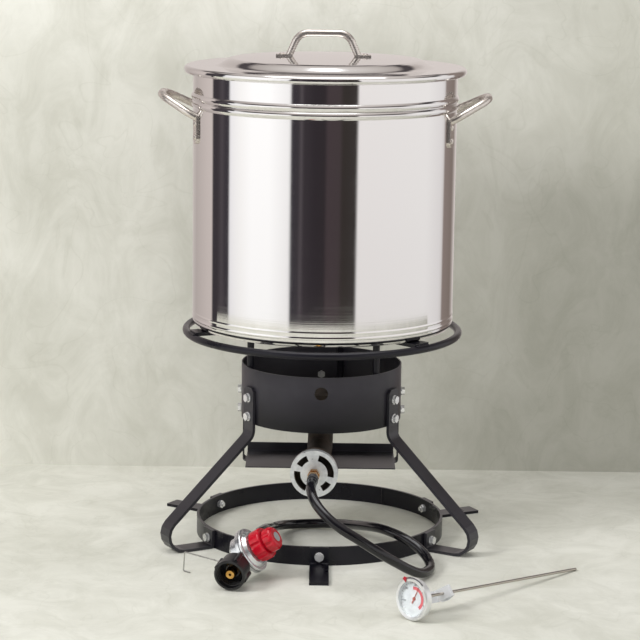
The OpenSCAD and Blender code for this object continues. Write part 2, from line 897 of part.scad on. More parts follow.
module regulator_bonnet() {
    dome_z = bonnet_z + bonnet_flange_h;
    neck_z = dome_z + bonnet_dome_h;
    outer = [
        [0, bonnet_z], [flange_r, bonnet_z], [flange_r, dome_z - 1], [flange_r - 1, dome_z],
        [body_r + 1, dome_z], [body_r - 2, dome_z + 4], [bonnet_neck_r + 4, neck_z],
        [bonnet_neck_r, neck_z], [bonnet_neck_r, neck_z + bonnet_neck_h], [0, neck_z + bonnet_neck_h]
    ];
    color("#c2c5c8")
        reg_frame()
            difference() {
                rotate_extrude()
                    polygon(outer);
                translate([0, 0, bonnet_z - past])
                    cylinder(r = bonnet_neck_r - bonnet_wall, h = neck_z + bonnet_neck_h - bonnet_z - 3);
                translate([0, 0, bonnet_z])
                    cylinder(r = screw_r + turn_gap, h = 60);
            }
}

spring_low = bonnet_z + loose_gap;
spring_high = bonnet_z + 12;
spring_wire_r = 0.8;
spring_r = bonnet_neck_r - bonnet_wall - spring_wire_r - loose_gap;
spring_turns = 5;

module regulator_spring() {
    steps = spring_turns * 8;
    low = spring_low + spring_wire_r;
    high = spring_high - spring_wire_r - loose_gap;
    helix = [
        for (i = [0 : steps])
            [spring_r * cos(45 * i), spring_r * sin(45 * i), low + (high - low) * i / steps]
    ];
    color("#9a9a98")
        reg_frame()
            swept_tube(helix, helix[1] - helix[0], helix[steps] - helix[steps - 1], spring_wire_r, 6);
}

module adjusting_screw() {
    color("#8d8d8a")
        reg_frame() {
            translate([0, 0, spring_high])
                cylinder(r = bonnet_neck_r - bonnet_wall - loose_gap, h = 2);
            translate([0, 0, spring_high])
                cylinder(r = screw_r, h = knob_z + knob_tier_h + 2 - spring_high);
        }
}

// Knob: two fluted tiers on one skirt, hollow below to pass the bonnet's neck
module knob_tier(r, h, crown) {
    notch_r = r * 0.22;
    difference() {
        rotate_extrude()
            polygon(concat([[0, 0], [r - 1, 0], [r, 1]], arc([r - crown, h - crown], crown, 0, 90, 4), [[0, h]]));
        for (i = [0 : knob_lobes - 1])
            rotate([0, 0, (i + 0.5) * 360 / knob_lobes])
                translate([r + notch_r * 0.55, 0, -past])
                    cylinder(r = notch_r, h = h + 2 * past, $fn = 32);
    }
}

module pressure_knob() {
    top_z = knob_tier_h + knob_groove_h;
    color("#c8102a")
        reg_frame()
            translate([0, 0, knob_z])
                difference() {
                    union() {
                        knob_tier(knob_r, knob_tier_h, knob_crown / 2);
                        translate([0, 0, knob_tier_h - past])
                            cylinder(r = knob_top_r - 3, h = knob_groove_h + 2 * past);
                        translate([0, 0, top_z])
                            rotate([0, 0, 180 / knob_lobes])
                                knob_tier(knob_top_r, knob_top_h, knob_crown);
                    }
                    translate([0, 0, -past])
                        cylinder(r = bonnet_neck_r + 1, h = knob_tier_h - 1 + past);
                    translate([0, 0, -past])
                        cylinder(r = screw_r, h = knob_tier_h + 2 + past);
                    translate([0, 0, top_z + knob_top_h - cap_h])
                        cylinder(r = cap_r, h = cap_h + past);
                }
}

module knob_cap() {
    color("#8a8d8f")
        reg_frame()
            translate([0, 0, knob_z + knob_tier_h + knob_groove_h + knob_top_h - cap_h])
                cylinder(r = cap_r, h = cap_h + 0.4);
}

module inlet_nipple() {
    nose = nipple_len;
    collar_at = nut_at + nut_back + loose_gap;
    color("#c69a52")
        reg_frame()
            difference() {
                rotate([0, 90, 0])
                    rotate_extrude()
                        polygon([
                            [0, body_r - 8], [nipple_stem_r, body_r - 8], [nipple_stem_r, collar_at],
                            [nipple_collar_r, collar_at], [nipple_collar_r, collar_at + 2.5],
                            [nipple_r, collar_at + 4], [nipple_r, nose - 7], [nipple_r - 0.6, nose - 3],
                            [nipple_r - 2, nose], [0, nose]
                        ]);
                along_x(1.8, body_r - 9, nose + past);
            }
}

module nipple_seal() {
    color("#1b1b1b")
        reg_frame()
            translate([nut_at + nut_back + loose_gap + 7, 0, 0])
                rotate([0, 90, 0])
                    rotate_extrude()
                        translate([nipple_r + turn_gap, 0])
                            square([1.6, 2.4]);
}

module tank_nut() {
    low = nut_at;
    high = nut_at + nut_len;
    color("#1f1f21")
        reg_frame()
            rotate([22.5 - reg_lean, 0, 0])
                difference() {
                    union() {
                        rotate([0, 90, 0])
                            rotate_extrude()
                                polygon([
                                    [0, low], [nut_r - 4, low], [nut_r - 1.5, low + 4], [nut_r - 1.5, high - 12],
                                    [nut_r, high - 11], [nut_r, high - 1], [nut_r - 1, high], [0, high]
                                ]);
                        for (i = [0 : nut_ears - 1])
                            rotate([i * 360 / nut_ears + 45, 0, 0])
                                translate([0, 0, nut_r - 1.5])
                                    along_x(ear_r, low + 5, high - 5);
                    }
                    along_x(nut_mouth_r, low + nut_back, high + past);
                    along_x(nipple_stem_r + turn_gap, low - past, high);
                }
}

// Tie wire: a ring round the inlet port, with a tail that stands on the floor
wire_ring_r = port_r + wire_d / 2 + 0.1;
wire_corner = [-176, -207];
wire_corner_z = 27;

module tie_wire() {
    across = [-cos(reg_turn), sin(reg_turn), 0];
    root = reg_at + reg_way * wire_ring_at + across * (wire_ring_r + wire_d / 2 + loose_gap);
    run = wire_corner - [root[0], root[1]];
    color("#b7b8b6") {
        reg_frame()
            translate([wire_ring_at, 0, 0])
                rotate([0, 90, 0])
                    rotate_extrude()
                        translate([wire_ring_r, 0])
                            circle(d = wire_d, $fn = 24);
        translate([root[0], root[1], 0])
            rotate([0, 0, angle_of(run)])
                rotate([90, 0, 0])
                    bent_rod(
                        [
                            [0, root[2]], [norm(run), wire_corner_z],
                            [norm(run) + 2, wire_d / 2 + 0.2],
                            [norm(run) - 10, wire_d / 2 + 0.2]
                        ],
                        2, wire_d
                    );
    }
}

// Pot
function bead(z, h, out, first = 0) = [for (i = [first : 8]) [pot_r + out * sin(22.5 * i), z + h * i / 8]];
pot_path = concat(
    [[0, 0]],
    arc([pot_r - pot_corner_r, pot_corner_r], pot_corner_r, -90, 0, 8),
    [for (z = low_bead_heights) each bead(z, low_bead_h, low_bead_out)],
    bead(bead_height, bead_h, bead_out),
    bead(bead_height + bead_h, bead_h, bead_out, 1),
    [[pot_r, pot_h - 2 * rim_roll_r - 1]]
);

module rivet_holes(r) {
    for (azimuth = [90 - pot_handle_turn, -90 - pot_handle_turn], s = [-1, 1], z = rivet_heights)
        at_azimuth(azimuth + s * foot_angle)
            translate([0, 0, z])
                along_x(r, pot_r - 6, pot_r + 8);
}

module pot_shell() {
    rim = arc([pot_r + rim_out - rim_roll_r, pot_h - rim_roll_r], rim_roll_r, -80, 90, 8);
    outline = concat(pot_path, rim, [[pot_r - pot_wall, pot_h]], reverse(side(pot_path, pot_wall)));
    color("#c9c7c6")
        translate([0, 0, pot_z])
            difference() {
                rotate_extrude($fn = 128)
                    polygon(outline);
                rivet_holes(rivet_d / 2 + turn_gap);
            }
}

module pot_handle(azimuth) {
    foot_x = pot_r * cos(foot_angle);
    half = pot_handle_span / 2;
    tip = (pot_r + pot_handle_reach - pot_handle_d / 2 - foot_x) / cos(handle_tilt);
    tab_low = handle_tab_top - handle_tab_h;
    color("#cfccc8")
        translate([0, 0, pot_z]) {
            difference() {
                for (s = [-1, 1])
                    at_azimuth(azimuth + s * foot_angle) {
                        translate([pot_r - 2, -handle_tab_w / 2, tab_low + handle_tab_w / 2])
                            cube([2 + handle_tab_t, handle_tab_w, handle_tab_h - handle_tab_w / 2]);
                        translate([0, 0, tab_low + handle_tab_w / 2])
                            along_x(handle_tab_w / 2, pot_r - 2, pot_r + handle_tab_t);
                    }
                cylinder(r = pot_r, h = pot_h, $fn = 128);
                rivet_holes(rivet_d / 2 + turn_gap);
            }
            difference() {
                at_azimuth(azimuth)
                    translate([foot_x, 0, handle_tab_top - 3])
                        rotate([0, -handle_tilt, 0])
                            bent_rod(
                                [
                                    [-4, -half], [handle_out, -half], [tip, -half + handle_corner_in],
                                    [tip, half - handle_corner_in], [handle_out, half], [-4, half]
                                ],
                                handle_bend_r, pot_handle_d
                            );
                cylinder(r = pot_r, h = pot_h, $fn = 128);
            }
        }
}

module rivet(r, grip, head_r, head_h) {
    along_x(r, -grip, 0);
    rotate([0, 90, 0])
        rotate_extrude()
            polygon([[0, 0], [head_r, 0], [head_r * 0.85, head_h * 0.5], [head_r * 0.45, head_h * 0.9], [0, head_h]]);
    translate([-grip, 0, 0])
        rotate([0, -90, 0])
            cylinder(r = head_r, h = 1);
}

module pot_rivets() {
    color("#d5d3d0")
        translate([0, 0, pot_z])
            for (azimuth = [90 - pot_handle_turn, -90 - pot_handle_turn], s = [-1, 1], z = rivet_heights)
                at_azimuth(azimuth + s * foot_angle)
                    translate([pot_r + handle_tab_t, 0, z])
                        rivet(rivet_d / 2, handle_tab_t + pot_wall + 0.2, rivet_head_r, rivet_head_h);
}

// Lid: heights are above the pot's rim
function lid_height(r) =
    lid_wall + (
        r < lid_dome_r ? lid_step + lid_crown * (1 - pow(r / lid_dome_r, 2))
        : r < lid_ledge_r ? lid_step * (1 + cos(180 * (r - lid_dome_r) / (lid_ledge_r - lid_dome_r))) / 2
        : 0
    );
lid_path = concat(
    [[0, lid_height(0)]],
    [for (i = [0 : 5]) let (r = 5 + (lid_dome_r - 5) * i / 5) [r, i == 0 ? lid_height(0) : lid_height(r)]],
    [for (i = [1 : 10]) let (r = lid_dome_r + (lid_ledge_r - lid_dome_r) * i / 10) [r, lid_height(r)]],
    arc([lid_roll_at, lid_wall - lid_roll_r], lid_roll_r, 90, -110, 12)
);
lid_rivet_x = lid_handle_span / 2 + lid_tab_len / 2;

module lid_rivet_holes(r) {
    for (s = [-1, 1])
        translate([lid_handle_off + s * lid_rivet_x, 0, 0])
            cylinder(r = r, h = 60);
}

module lid_shell() {
    color("#cbc9c8")
        translate([0, 0, lid_z])
            difference() {
                rotate_extrude($fn = 128)
                    polygon(concat(lid_path, reverse(side(lid_path, -lid_wall))));
                lid_rivet_holes(rivet_d / 2 + turn_gap);
            }
}

module lid_handle() {
    foot_x = lid_handle_span / 2;
    seat = lid_height(foot_x);
    grip_z = seat + lid_handle_h;
    low = seat - 3;
    color("#bdb7b0")
        translate([0, 0, lid_z])
            difference() {
                translate([lid_handle_off, 0, 0]) {
                    rotate([90, 0, 0])
                        bent_rod(
                            [
                                [-foot_x, low], [-foot_x + lid_grip_in, grip_z],
                                [foot_x - lid_grip_in, grip_z], [foot_x, low]
                            ],
                            lid_bend_r, lid_handle_d
                        );
                    for (s = [-1, 1]) {
                        translate([s * (foot_x + lid_tab_len / 2 - 3) - lid_tab_len / 2 - 3, -lid_tab_w / 2, low])
                            cube([lid_tab_len + 6, lid_tab_w, lid_tab_t + 3]);
                    }
                }
                rotate_extrude($fn = 128)
                    polygon(concat(lid_path, [[0, lid_low]]));
                lid_rivet_holes(rivet_d / 2 + turn_gap);
            }
}

module lid_rivets() {
    top = lid_height(lid_handle_span / 2) + lid_tab_t;
    color("#d5d3d0")
        translate([0, 0, lid_z])
            for (s = [-1, 1])
                translate([lid_handle_off + s * lid_rivet_x, 0, top])
                    rotate([0, -90, 0])
                        rivet(rivet_d / 2, lid_tab_t + lid_wall + 0.8, rivet_head_r, rivet_head_h);
}

// Thermometer pieces in the thermometer's own frame
module thermo_frame() {
    translate(stem_tip)
        rotate([0, 0, stem_turn])
            rotate([0, -stem_rise, 0])
                children();
}

module turned_along_x(profile) {
    rotate([0, 90, 0])
        rotate_extrude()
            polygon(profile);
}

case_back = stem_len;
dial_at = case_back + case_h - 4;
lens_at = case_back + case_h + 0.8;
bezel_at = case_back + case_h - 3.6;

module thermometer_stem() {
    color("#b5b3ae")
        thermo_frame()
            turned_along_x([
                [0, 0], [stem_r * 0.6, 0], [stem_r, 2], [stem_r, case_back + 2], [0, case_back + 2]
            ]);
}

module thermometer_case() {
    color("#c3c5c6")
        thermo_frame()
            difference() {
                turned_along_x([
                    [0, case_back - case_hub_h], [case_hub_r - 1, case_back - case_hub_h],
                    [case_hub_r, case_back - case_hub_h + 1], [case_hub_r, case_back],
                    [case_r - 1, case_back], [case_r, case_back + 1], [case_r, case_back + case_h],
                    [0, case_back + case_h]
                ]);
                along_x(case_r - case_wall, case_back + 2, case_back + case_h + past);
                along_x(stem_r, case_back - case_hub_h - past, case_back + 2 + past);
            }
}

module thermometer_bezel() {
    color("#d3d4d5")
        thermo_frame()
            turned_along_x([
                [case_r, bezel_at], [bezel_r - 0.8, bezel_at], [bezel_r, bezel_at + 0.8],
                [bezel_r, bezel_at + bezel_h - 1.4], [bezel_r - 1.4, bezel_at + bezel_h],
                [dial_r - 1, bezel_at + bezel_h - 0.7], [dial_r - 1, lens_at + lens_t],
                [case_r - 0.4, lens_at + lens_t], [case_r - 0.4, lens_at - 0.8], [case_r, lens_at - 0.8]
            ]);
}

module thermometer_dial() {
    color("#e8e6df")
        thermo_frame()
            difference() {
                along_x(case_r - case_wall - turn_gap, dial_at - dial_t, dial_at);
                along_x(1.2, dial_at - dial_t - past, dial_at + past);
            }
}

module thermometer_lens() {
    color("#dfe8ea", 0.35)
        thermo_frame()
            along_x(case_r - 0.4, lens_at - 0.8, lens_at + lens_t);
}

module thermometer_needle() {
    color("#b01624")
        thermo_frame()
            rotate([needle_at, 0, 0]) {
                along_x(1.2 - turn_gap, case_back + 2 + loose_gap, dial_at + 1.4);
                along_x(2.2, dial_at + 0.4, dial_at + 1.4);
                translate([dial_at + 0.5, 0, 0])
                    rotate([90, 0, 90])
                        linear_extrude(height = 0.6)
                            polygon([[-0.9, -needle_tail], [0.9, -needle_tail], [0.7, 0], [0.2, needle_len], [-0.2, needle_len], [-0.7, 0]]);
            }
}

module target_marker() {
    inner = bezel_r + turn_gap;
    outer = bezel_r + marker_t;
    back = bezel_at - 0.2;
    front = bezel_at + bezel_h + 0.2;
    color("#c8142c")
        thermo_frame()
            rotate([marker_at, 0, 0])
                rotate([0, 90, 0]) {
                    translate([0, 0, back])
                        ring_sector(inner, outer, 180 - marker_saddle, 180 + marker_saddle, front - back);
                    translate([0, 0, back - marker_t])
                        ring_sector(inner - 1.5, outer, 180 - marker_saddle, 180 + marker_saddle, marker_t);
                    translate([0, 0, front - marker_wire_h])
                        ring_sector(inner, outer, 180 - marker_arc, 180 + marker_saddle, marker_wire_h);
                    translate([0, 0, front - 0.1])
                        linear_extrude(height = marker_t)
                            polygon([[-outer, -3.2], [-outer - 2, 0], [-outer, 3.2], [-inner + 5, 0]]);
                }
}

module thermometer_clip() {
    root = case_back - case_hub_h;
    color("#c9c9c7")
        thermo_frame()
            difference() {
                rotate([clip_turn, 0, 0])
                    bent_bar(
                        [
                            [root - 2, -8], [root - 33, -8], [root - 41, 9], [root - 45, 9],
                            [root - 50, -7], [root - 41, -11]
                        ],
                        [1.2, 1.2, 1.2, 1.2], clip_t, clip_w
                    );
                along_x(stem_r + 2 * turn_gap, root - 60, root);
            }
}

wind_guard();
top_ring();
pot_support(support_azimuths[0]);  // pot_support_right
pot_support(support_azimuths[1]);  // pot_support_left
pot_support(support_azimuths[2]);  // pot_support_back
leg(leg_azimuths[0]);  // leg_right
leg(leg_azimuths[1]);  // leg_left
leg(leg_azimuths[2]);  // leg_back
base_ring();
foot(foot_azimuths[0], foot_reach);  // foot_front
foot(foot_azimuths[1], rear_foot_reach);  // foot_right
foot(foot_azimuths[2], rear_foot_reach);  // foot_left
heat_shield();
burner_bracket();
burner_casting();
burner_cap();
burner_bolts();
guard_bolts();
guard_nuts();
base_bolts();
base_nuts();
air_shutter();
orifice_fitting();
burner_ferrule();
gas_hose();
regulator_ferrule();
regulator_body();
regulator_diaphragm();
regulator_bonnet();
regulator_spring();
adjusting_screw();
pressure_knob();
knob_cap();
inlet_nipple();
nipple_seal();
tank_nut();
tie_wire();
pot_shell();
pot_handle(90 - pot_handle_turn);  // pot_handle_right
pot_handle(-90 - pot_handle_turn);  // pot_handle_left
pot_rivets();
lid_shell();
lid_handle();
lid_rivets();
thermometer_stem();
thermometer_case();
thermometer_bezel();
thermometer_dial();
thermometer_lens();
thermometer_needle();
target_marker();
thermometer_clip();
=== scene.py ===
# %% [markdown]
# # A turkey fryer kit
# A polished stainless pot with a lid stands on a black, bolt-together propane cooker stand.
# A rubber hose runs from the burner to a regulator with a red knob, and a dial thermometer lies in front.
# The rigid pieces come from the CAD model. Blender adds the hose, the small parts that a sheet of drawings
# leaves out, such as welds, a screw thread and a printed dial, and the finishes.

# %% Load the CAD model
import math

import bpy
from mathutils import Matrix, Vector
from mathutils.geometry import interpolate_bezier


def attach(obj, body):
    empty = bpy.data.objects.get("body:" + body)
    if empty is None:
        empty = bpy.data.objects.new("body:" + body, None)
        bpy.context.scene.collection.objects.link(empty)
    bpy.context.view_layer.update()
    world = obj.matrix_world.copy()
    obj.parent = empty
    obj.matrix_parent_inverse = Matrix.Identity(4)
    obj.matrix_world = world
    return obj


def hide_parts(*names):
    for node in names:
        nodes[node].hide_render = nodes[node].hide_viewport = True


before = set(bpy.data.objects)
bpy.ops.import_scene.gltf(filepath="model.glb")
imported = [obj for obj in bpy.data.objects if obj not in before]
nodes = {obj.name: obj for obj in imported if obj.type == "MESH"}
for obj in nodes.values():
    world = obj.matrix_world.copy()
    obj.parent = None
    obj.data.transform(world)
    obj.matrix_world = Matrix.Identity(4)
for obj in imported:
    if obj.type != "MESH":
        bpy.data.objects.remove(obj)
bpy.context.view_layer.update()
MM = 0.001

# %% [markdown]
# ## Camera
# The photograph was taken from about three metres away with a long lens, a little above the pot's lid.
# The camera's place, tilt and field of view were found from the round rims of the pot, ring and base,
# so the lens needs no shift. A very small roll leans the pot to the right as in the photograph.

# %% Camera at the photograph's place
CAMERA_AT = (-0.00305, -3.13946, 0.88943)
CAMERA_PITCH = 0.1859
CAMERA_ROLL = 0.0133
CAMERA_ANGLE = math.radians(15.667)

camera_data = bpy.data.cameras.new("photo_camera")
camera_data.angle = CAMERA_ANGLE
camera = bpy.data.objects.new("photo_camera", camera_data)
bpy.context.scene.collection.objects.link(camera)
camera.location = CAMERA_AT
tilt = Matrix.Rotation(math.pi / 2 - CAMERA_PITCH, 4, "X")
camera.rotation_euler = (tilt @ Matrix.Rotation(CAMERA_ROLL, 4, "Z")).to_euler()
bpy.context.scene.camera = camera
print("camera field of view:", round(math.degrees(camera_data.angle), 2))

# %% [markdown]
# ## Directions on the object
# The regulator and the thermometer lie at odd angles. Each gets its own frame, the same one that the CAD
# uses, so that small pieces can be modelled straight and then set in place. Pieces round the stand are set
# by their azimuth, counted from the front towards the right.

# %% Frames of the venturi, the regulator, the thermometer and the stand
def turned(axis, degrees):
    return Matrix.Rotation(math.radians(degrees), 4, axis)


def shifted(x, y, z):
    return Matrix.Translation(Vector((x, y, z)) * MM)


def at_azimuth(degrees):
    return turned("Z", degrees - 90)


VENTURI_TURN = 3
VENTURI_Z = 122
REG_AT = (-98, -229, 31)
REG_TURN = 14
REG_DIP = 8
REG_LEAN = 33
STEM_TIP = (340, -177, 2)
STEM_TURN = -135.5
CASE_LIFT, CASE_AT = 24.9, 316
STEM_RISE = math.degrees(math.asin(CASE_LIFT / CASE_AT))
DIAL_AT = 312

venturi_frame = shifted(0, 0, VENTURI_Z) @ turned("Z", -VENTURI_TURN) @ turned("X", 90)
reg_level = shifted(*REG_AT) @ turned("Z", -90 - REG_TURN)
reg_frame = reg_level @ turned("Y", REG_DIP) @ turned("X", REG_LEAN - 90)
thermo_frame = shifted(*STEM_TIP) @ turned("Z", STEM_TURN) @ turned("Y", -STEM_RISE)
dial_axes = Matrix(((0, 0, 1), (1, 0, 0), (0, 1, 0))).to_4x4()
dial_frame = thermo_frame @ shifted(DIAL_AT, 0, 0) @ dial_axes
venturi_way = venturi_frame.to_3x3() @ Vector((0, 0, 1))
reg_way = reg_frame.to_3x3() @ Vector((1, 0, 0))
print("venturi points", [round(v, 3) for v in venturi_way], "inlet points", [round(v, 3) for v in reg_way])

# %% [markdown]
# ## Gas hose
# The hose is black rubber, 13 mm thick, and stiff enough to hold a wide curve. It leaves the brass fitting
# level, drops to the floor on the right, climbs over the base ring and comes back under the burner to the
# regulator. A Bezier curve through the route's points with automatic handles gives one smooth bend after
# another, its bevel gives the round section, and it is then made a mesh tube with a list of points that it
# follows.

# %% Hose curve
HOSE_D = 13 * MM
HOSE_START = 199 * MM
HOSE_STEPS = 8
OUTLET_END = 56 * MM
HOSE_ROUTE = [
    (-12, -226, 121), (-11, -241, 118), (-7, -255, 111), (2, -267, 101), (15, -275, 90),
    (31, -279, 79), (49, -280, 68), (67, -278, 56), (84, -273, 44), (101, -264, 32),
    (117, -251, 20), (131, -235, 11), (141, -216, 8), (146, -196, 8), (144, -177, 12),
    (136, -162, 19), (123, -151, 27), (109, -142, 33), (95, -130, 36), (82, -114, 36),
    (70, -95, 33), (59, -73, 28), (48, -48, 22), (35, -23, 16), (17, -3, 11),
    (-6, 7, 8), (-30, 3, 8), (-49, -13, 11), (-59, -38, 16), (-64, -63, 21),
    (-67, -87, 27), (-70, -110, 33), (-73, -130, 38), (-77, -147, 40),
]
hose_first = venturi_frame.translation + venturi_way * HOSE_START
hose_last = reg_frame.translation - reg_way * OUTLET_END
hose_points = [hose_first, hose_first + venturi_way * HOSE_D]
hose_points += [Vector(point) * MM for point in HOSE_ROUTE]
hose_points += [hose_last - reg_way * HOSE_D, hose_last]

hose_data = bpy.data.curves.new("rubber_hose", "CURVE")
hose_data.dimensions = "3D"
hose_data.bevel_depth = HOSE_D / 2
hose_data.bevel_resolution = 6
hose_data.resolution_u = HOSE_STEPS
hose_data.use_fill_caps = True
hose_line = hose_data.splines.new("BEZIER")
hose_line.bezier_points.add(len(hose_points) - 1)
for bezier, point in zip(hose_line.bezier_points, hose_points):
    bezier.co = point
    bezier.handle_left_type = "AUTO"
    bezier.handle_right_type = "AUTO"
rubber_hose = bpy.data.objects.new("rubber_hose", hose_data)
bpy.context.scene.collection.objects.link(rubber_hose)
bpy.context.view_layer.update()

# %% [markdown]
# The tube's middle line is read from the curve's own handles, eight steps from point to point. The regulator
# and all that is on it hang on the hose.

# %% Hose tube
hose_path = []
knots = list(hose_line.bezier_points)
for knot, after in zip(knots, knots[1:]):
    stretch = interpolate_bezier(knot.co, knot.handle_right, after.handle_left, after.co, HOSE_STEPS + 1)
    hose_path += stretch[:-1]
hose_path.append(knots[-1].co.copy())
hose_path = [tuple(point) for point in hose_path]


def only(piece):
    bpy.ops.object.select_all(action="DESELECT")
    piece.select_set(True)
    bpy.context.view_layer.objects.active = piece


only(rubber_hose)
bpy.ops.object.convert(target="MESH")
rubber_hose = bpy.context.object
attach(rubber_hose, "stand")
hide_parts("gas_hose")
print("hose tube:", len(rubber_hose.data.polygons), "faces along", len(hose_path), "points")

# %% [markdown]
# ## Colours and nodes
# Colours are written as sRGB hex values, as a colour picker shows them, and one function turns them to the
# linear values that shaders use. A second function adds a shader node with its settings and its links.

# %% Helpers for colours and nodes
def linear(code):
    channels = [int(code[i:i + 2], 16) / 255 for i in (1, 3, 5)]
    return [c / 12.92 if c <= 0.04045 else ((c + 0.055) / 1.055) ** 2.4 for c in channels] + [1.0]


def add(tree, kind, inputs=None, **settings):
    made = tree.nodes.new("ShaderNode" + kind)
    for name, value in settings.items():
        setattr(made, name, value)
    for name, value in (inputs or {}).items():
        if isinstance(value, bpy.types.NodeSocket):
            tree.links.new(value, made.inputs[name])
        else:
            made.inputs[name].default_value = value
    return made


def new_finish(name):
    material = bpy.data.materials.new(name)
    material.use_nodes = True
    tree = material.node_tree
    shader = next(n for n in tree.nodes if n.type == "BSDF_PRINCIPLED")
    place = add(tree, "TexCoord").outputs["Object"]
    return material, tree, shader, place


def ramp(tree, value, stops):
    made = add(tree, "ValToRGB", {"Fac": value})
    elements = made.color_ramp.elements
    while len(elements) < len(stops):
        elements.new(0.5)
    for element, (at, code) in zip(elements, stops):
        element.position = at
        element.color = linear(code)
    return made.outputs["Color"]


def per_metre(size_mm):
    return 1000.0 / size_mm


# %% [markdown]
# ## Floor, backdrop and light
# The floor is a disc, parted where the photograph shows the line between the two, and the wall is drawn up
# from that line. The wall and the floor behind it become objects of their own that mirrors don't see, so that
# a mirror all round sees one surround.

# %% Floor and wall
FLOOR_R = 1.86
FLOOR_SIDES = 128
WALL_Y = 0.351
WALL_TOP = 2.2
ON_LINE = 0.001


def select_faces(piece, belongs):
    only(piece)
    bpy.ops.object.mode_set(mode="EDIT")
    bpy.ops.mesh.select_mode(type="FACE")
    bpy.ops.mesh.select_all(action="DESELECT")
    bpy.ops.object.mode_set(mode="OBJECT")
    for face in piece.data.polygons:
        face.select = belongs(face)
    bpy.ops.object.mode_set(mode="EDIT")


def part_off(piece, belongs, name):
    select_faces(piece, belongs)
    bpy.ops.mesh.separate(type="SELECTED")
    bpy.ops.object.mode_set(mode="OBJECT")
    part = next(made for made in bpy.context.selected_objects if made != piece)
    part.name = name
    part.visible_glossy = False
    return part


bpy.ops.object.select_all(action="DESELECT")
bpy.ops.mesh.primitive_circle_add(vertices=FLOOR_SIDES, radius=FLOOR_R, fill_type="NGON")
studio = bpy.context.object
studio.name = "studio_floor"
bpy.ops.object.mode_set(mode="EDIT")
bpy.ops.mesh.select_all(action="SELECT")
bpy.ops.mesh.bisect(plane_co=(0, WALL_Y, 0), plane_no=(0, 1, 0))
bpy.ops.mesh.select_mode(type="EDGE")
bpy.ops.mesh.select_all(action="DESELECT")
bpy.ops.object.mode_set(mode="OBJECT")
for edge in studio.data.edges:
    edge.select = all(abs(studio.data.vertices[i].co.y - WALL_Y) < ON_LINE for i in edge.vertices)
bpy.ops.object.mode_set(mode="EDIT")
bpy.ops.mesh.extrude_region_move(TRANSFORM_OT_translate={"value": (0, 0, WALL_TOP)})
bpy.ops.object.mode_set(mode="OBJECT")
backdrop = part_off(studio, lambda face: abs(face.normal.z) < 0.5, "studio_wall")
back_floor = part_off(studio, lambda face: face.center.y > WALL_Y, "studio_back_floor")
if backdrop.data.polygons[0].normal.y > 0:
    select_faces(backdrop, lambda face: True)
    bpy.ops.mesh.flip_normals()
    bpy.ops.object.mode_set(mode="OBJECT")
stage_pieces = (studio, backdrop, back_floor)
print("floor, wall and back floor faces:", [len(piece.data.polygons) for piece in stage_pieces])

# %% [markdown]
# The plaster is trowelled: soft clouds about a hand wide, with shorter strokes and thin curved edges of the
# trowel in them. A painted shade in the base colour darkens the wall from left to right, less so near its top,
# and a milder painted shade runs across the floor, which stays pale.

# %% Trowelled plaster
CLOUD_MM, STROKE_MM, ARC_MM = 260, 80, 170
SHADE_HALF = 0.5
SHADE_LOW_Z, SHADE_HIGH_Z = 0.42, 0.66


def trowelled_plaster(name, low_painted_shade, high_painted_shade, clear_back=False):
    material, tree, shader, place = new_finish(name)
    axes = add(tree, "SeparateXYZ", {"Vector": place})
    # Painted shade: the base colour darkens along x, blended by height between a low and a high ramp.
    share = add(tree, "MapRange", {
        "Value": axes.outputs["X"], "From Min": -SHADE_HALF, "From Max": SHADE_HALF,
    }).outputs[0]
    height = add(tree, "MapRange", {
        "Value": axes.outputs["Z"], "From Min": SHADE_LOW_Z, "From Max": SHADE_HIGH_Z,
    }).outputs[0]
    painted_shade_and_mottle = add(tree, "Mix", {
        "Factor": height, 6: ramp(tree, share, low_painted_shade), 7: ramp(tree, share, high_painted_shade),
    }, data_type="RGBA").outputs[2]
    clouds = add(tree, "TexNoise", {
        "Vector": place, "Scale": per_metre(CLOUD_MM), "Detail": 8, "Roughness": 0.6, "Distortion": 0.4,
    })
    stroke_place = add(tree, "Mapping", {
        "Vector": place, "Rotation": (0.3, 0.7, 0.2), "Scale": (1.0, 1.0, 0.6),
    }).outputs[0]
    strokes = add(tree, "TexNoise", {
        "Vector": stroke_place, "Scale": per_metre(STROKE_MM), "Detail": 8, "Roughness": 0.7, "Distortion": 1.2,
    })
    arcs = add(tree, "TexNoise", {
        "Vector": place, "Scale": per_metre(ARC_MM), "Detail": 2, "Roughness": 0.5, "Distortion": 1.6,
    })
    tones = [
        ramp(tree, clouds.outputs["Fac"], [(0.36, "#efefed"), (0.64, "#ffffff")]),
        ramp(tree, strokes.outputs["Fac"], [(0.38, "#f2f2f0"), (0.6, "#ffffff")]),
        ramp(tree, arcs.outputs["Fac"], [(0.492, "#ffffff"), (0.5, "#f9f9f8"), (0.508, "#ffffff")]),
    ]
    for tone in tones:
        layer = add(tree, "Mix", {"Factor": 1.0, 6: painted_shade_and_mottle, 7: tone}, data_type="RGBA", blend_type="MULTIPLY")
        painted_shade_and_mottle = layer.outputs[2]
    tree.links.new(painted_shade_and_mottle, shader.inputs["Base Color"])
    shader.inputs["Roughness"].default_value = 0.8
    shader.inputs["Specular IOR Level"].default_value = 0.2
    if clear_back:
        back = add(tree, "NewGeometry").outputs["Backfacing"]
        clear = add(tree, "BsdfTransparent").outputs[0]
        sides = add(tree, "MixShader", {0: back, 1: shader.outputs[0], 2: clear})
        output = next(n for n in tree.nodes if n.type == "OUTPUT_MATERIAL")
        tree.links.new(sides.outputs[0], output.inputs["Surface"])
    return material
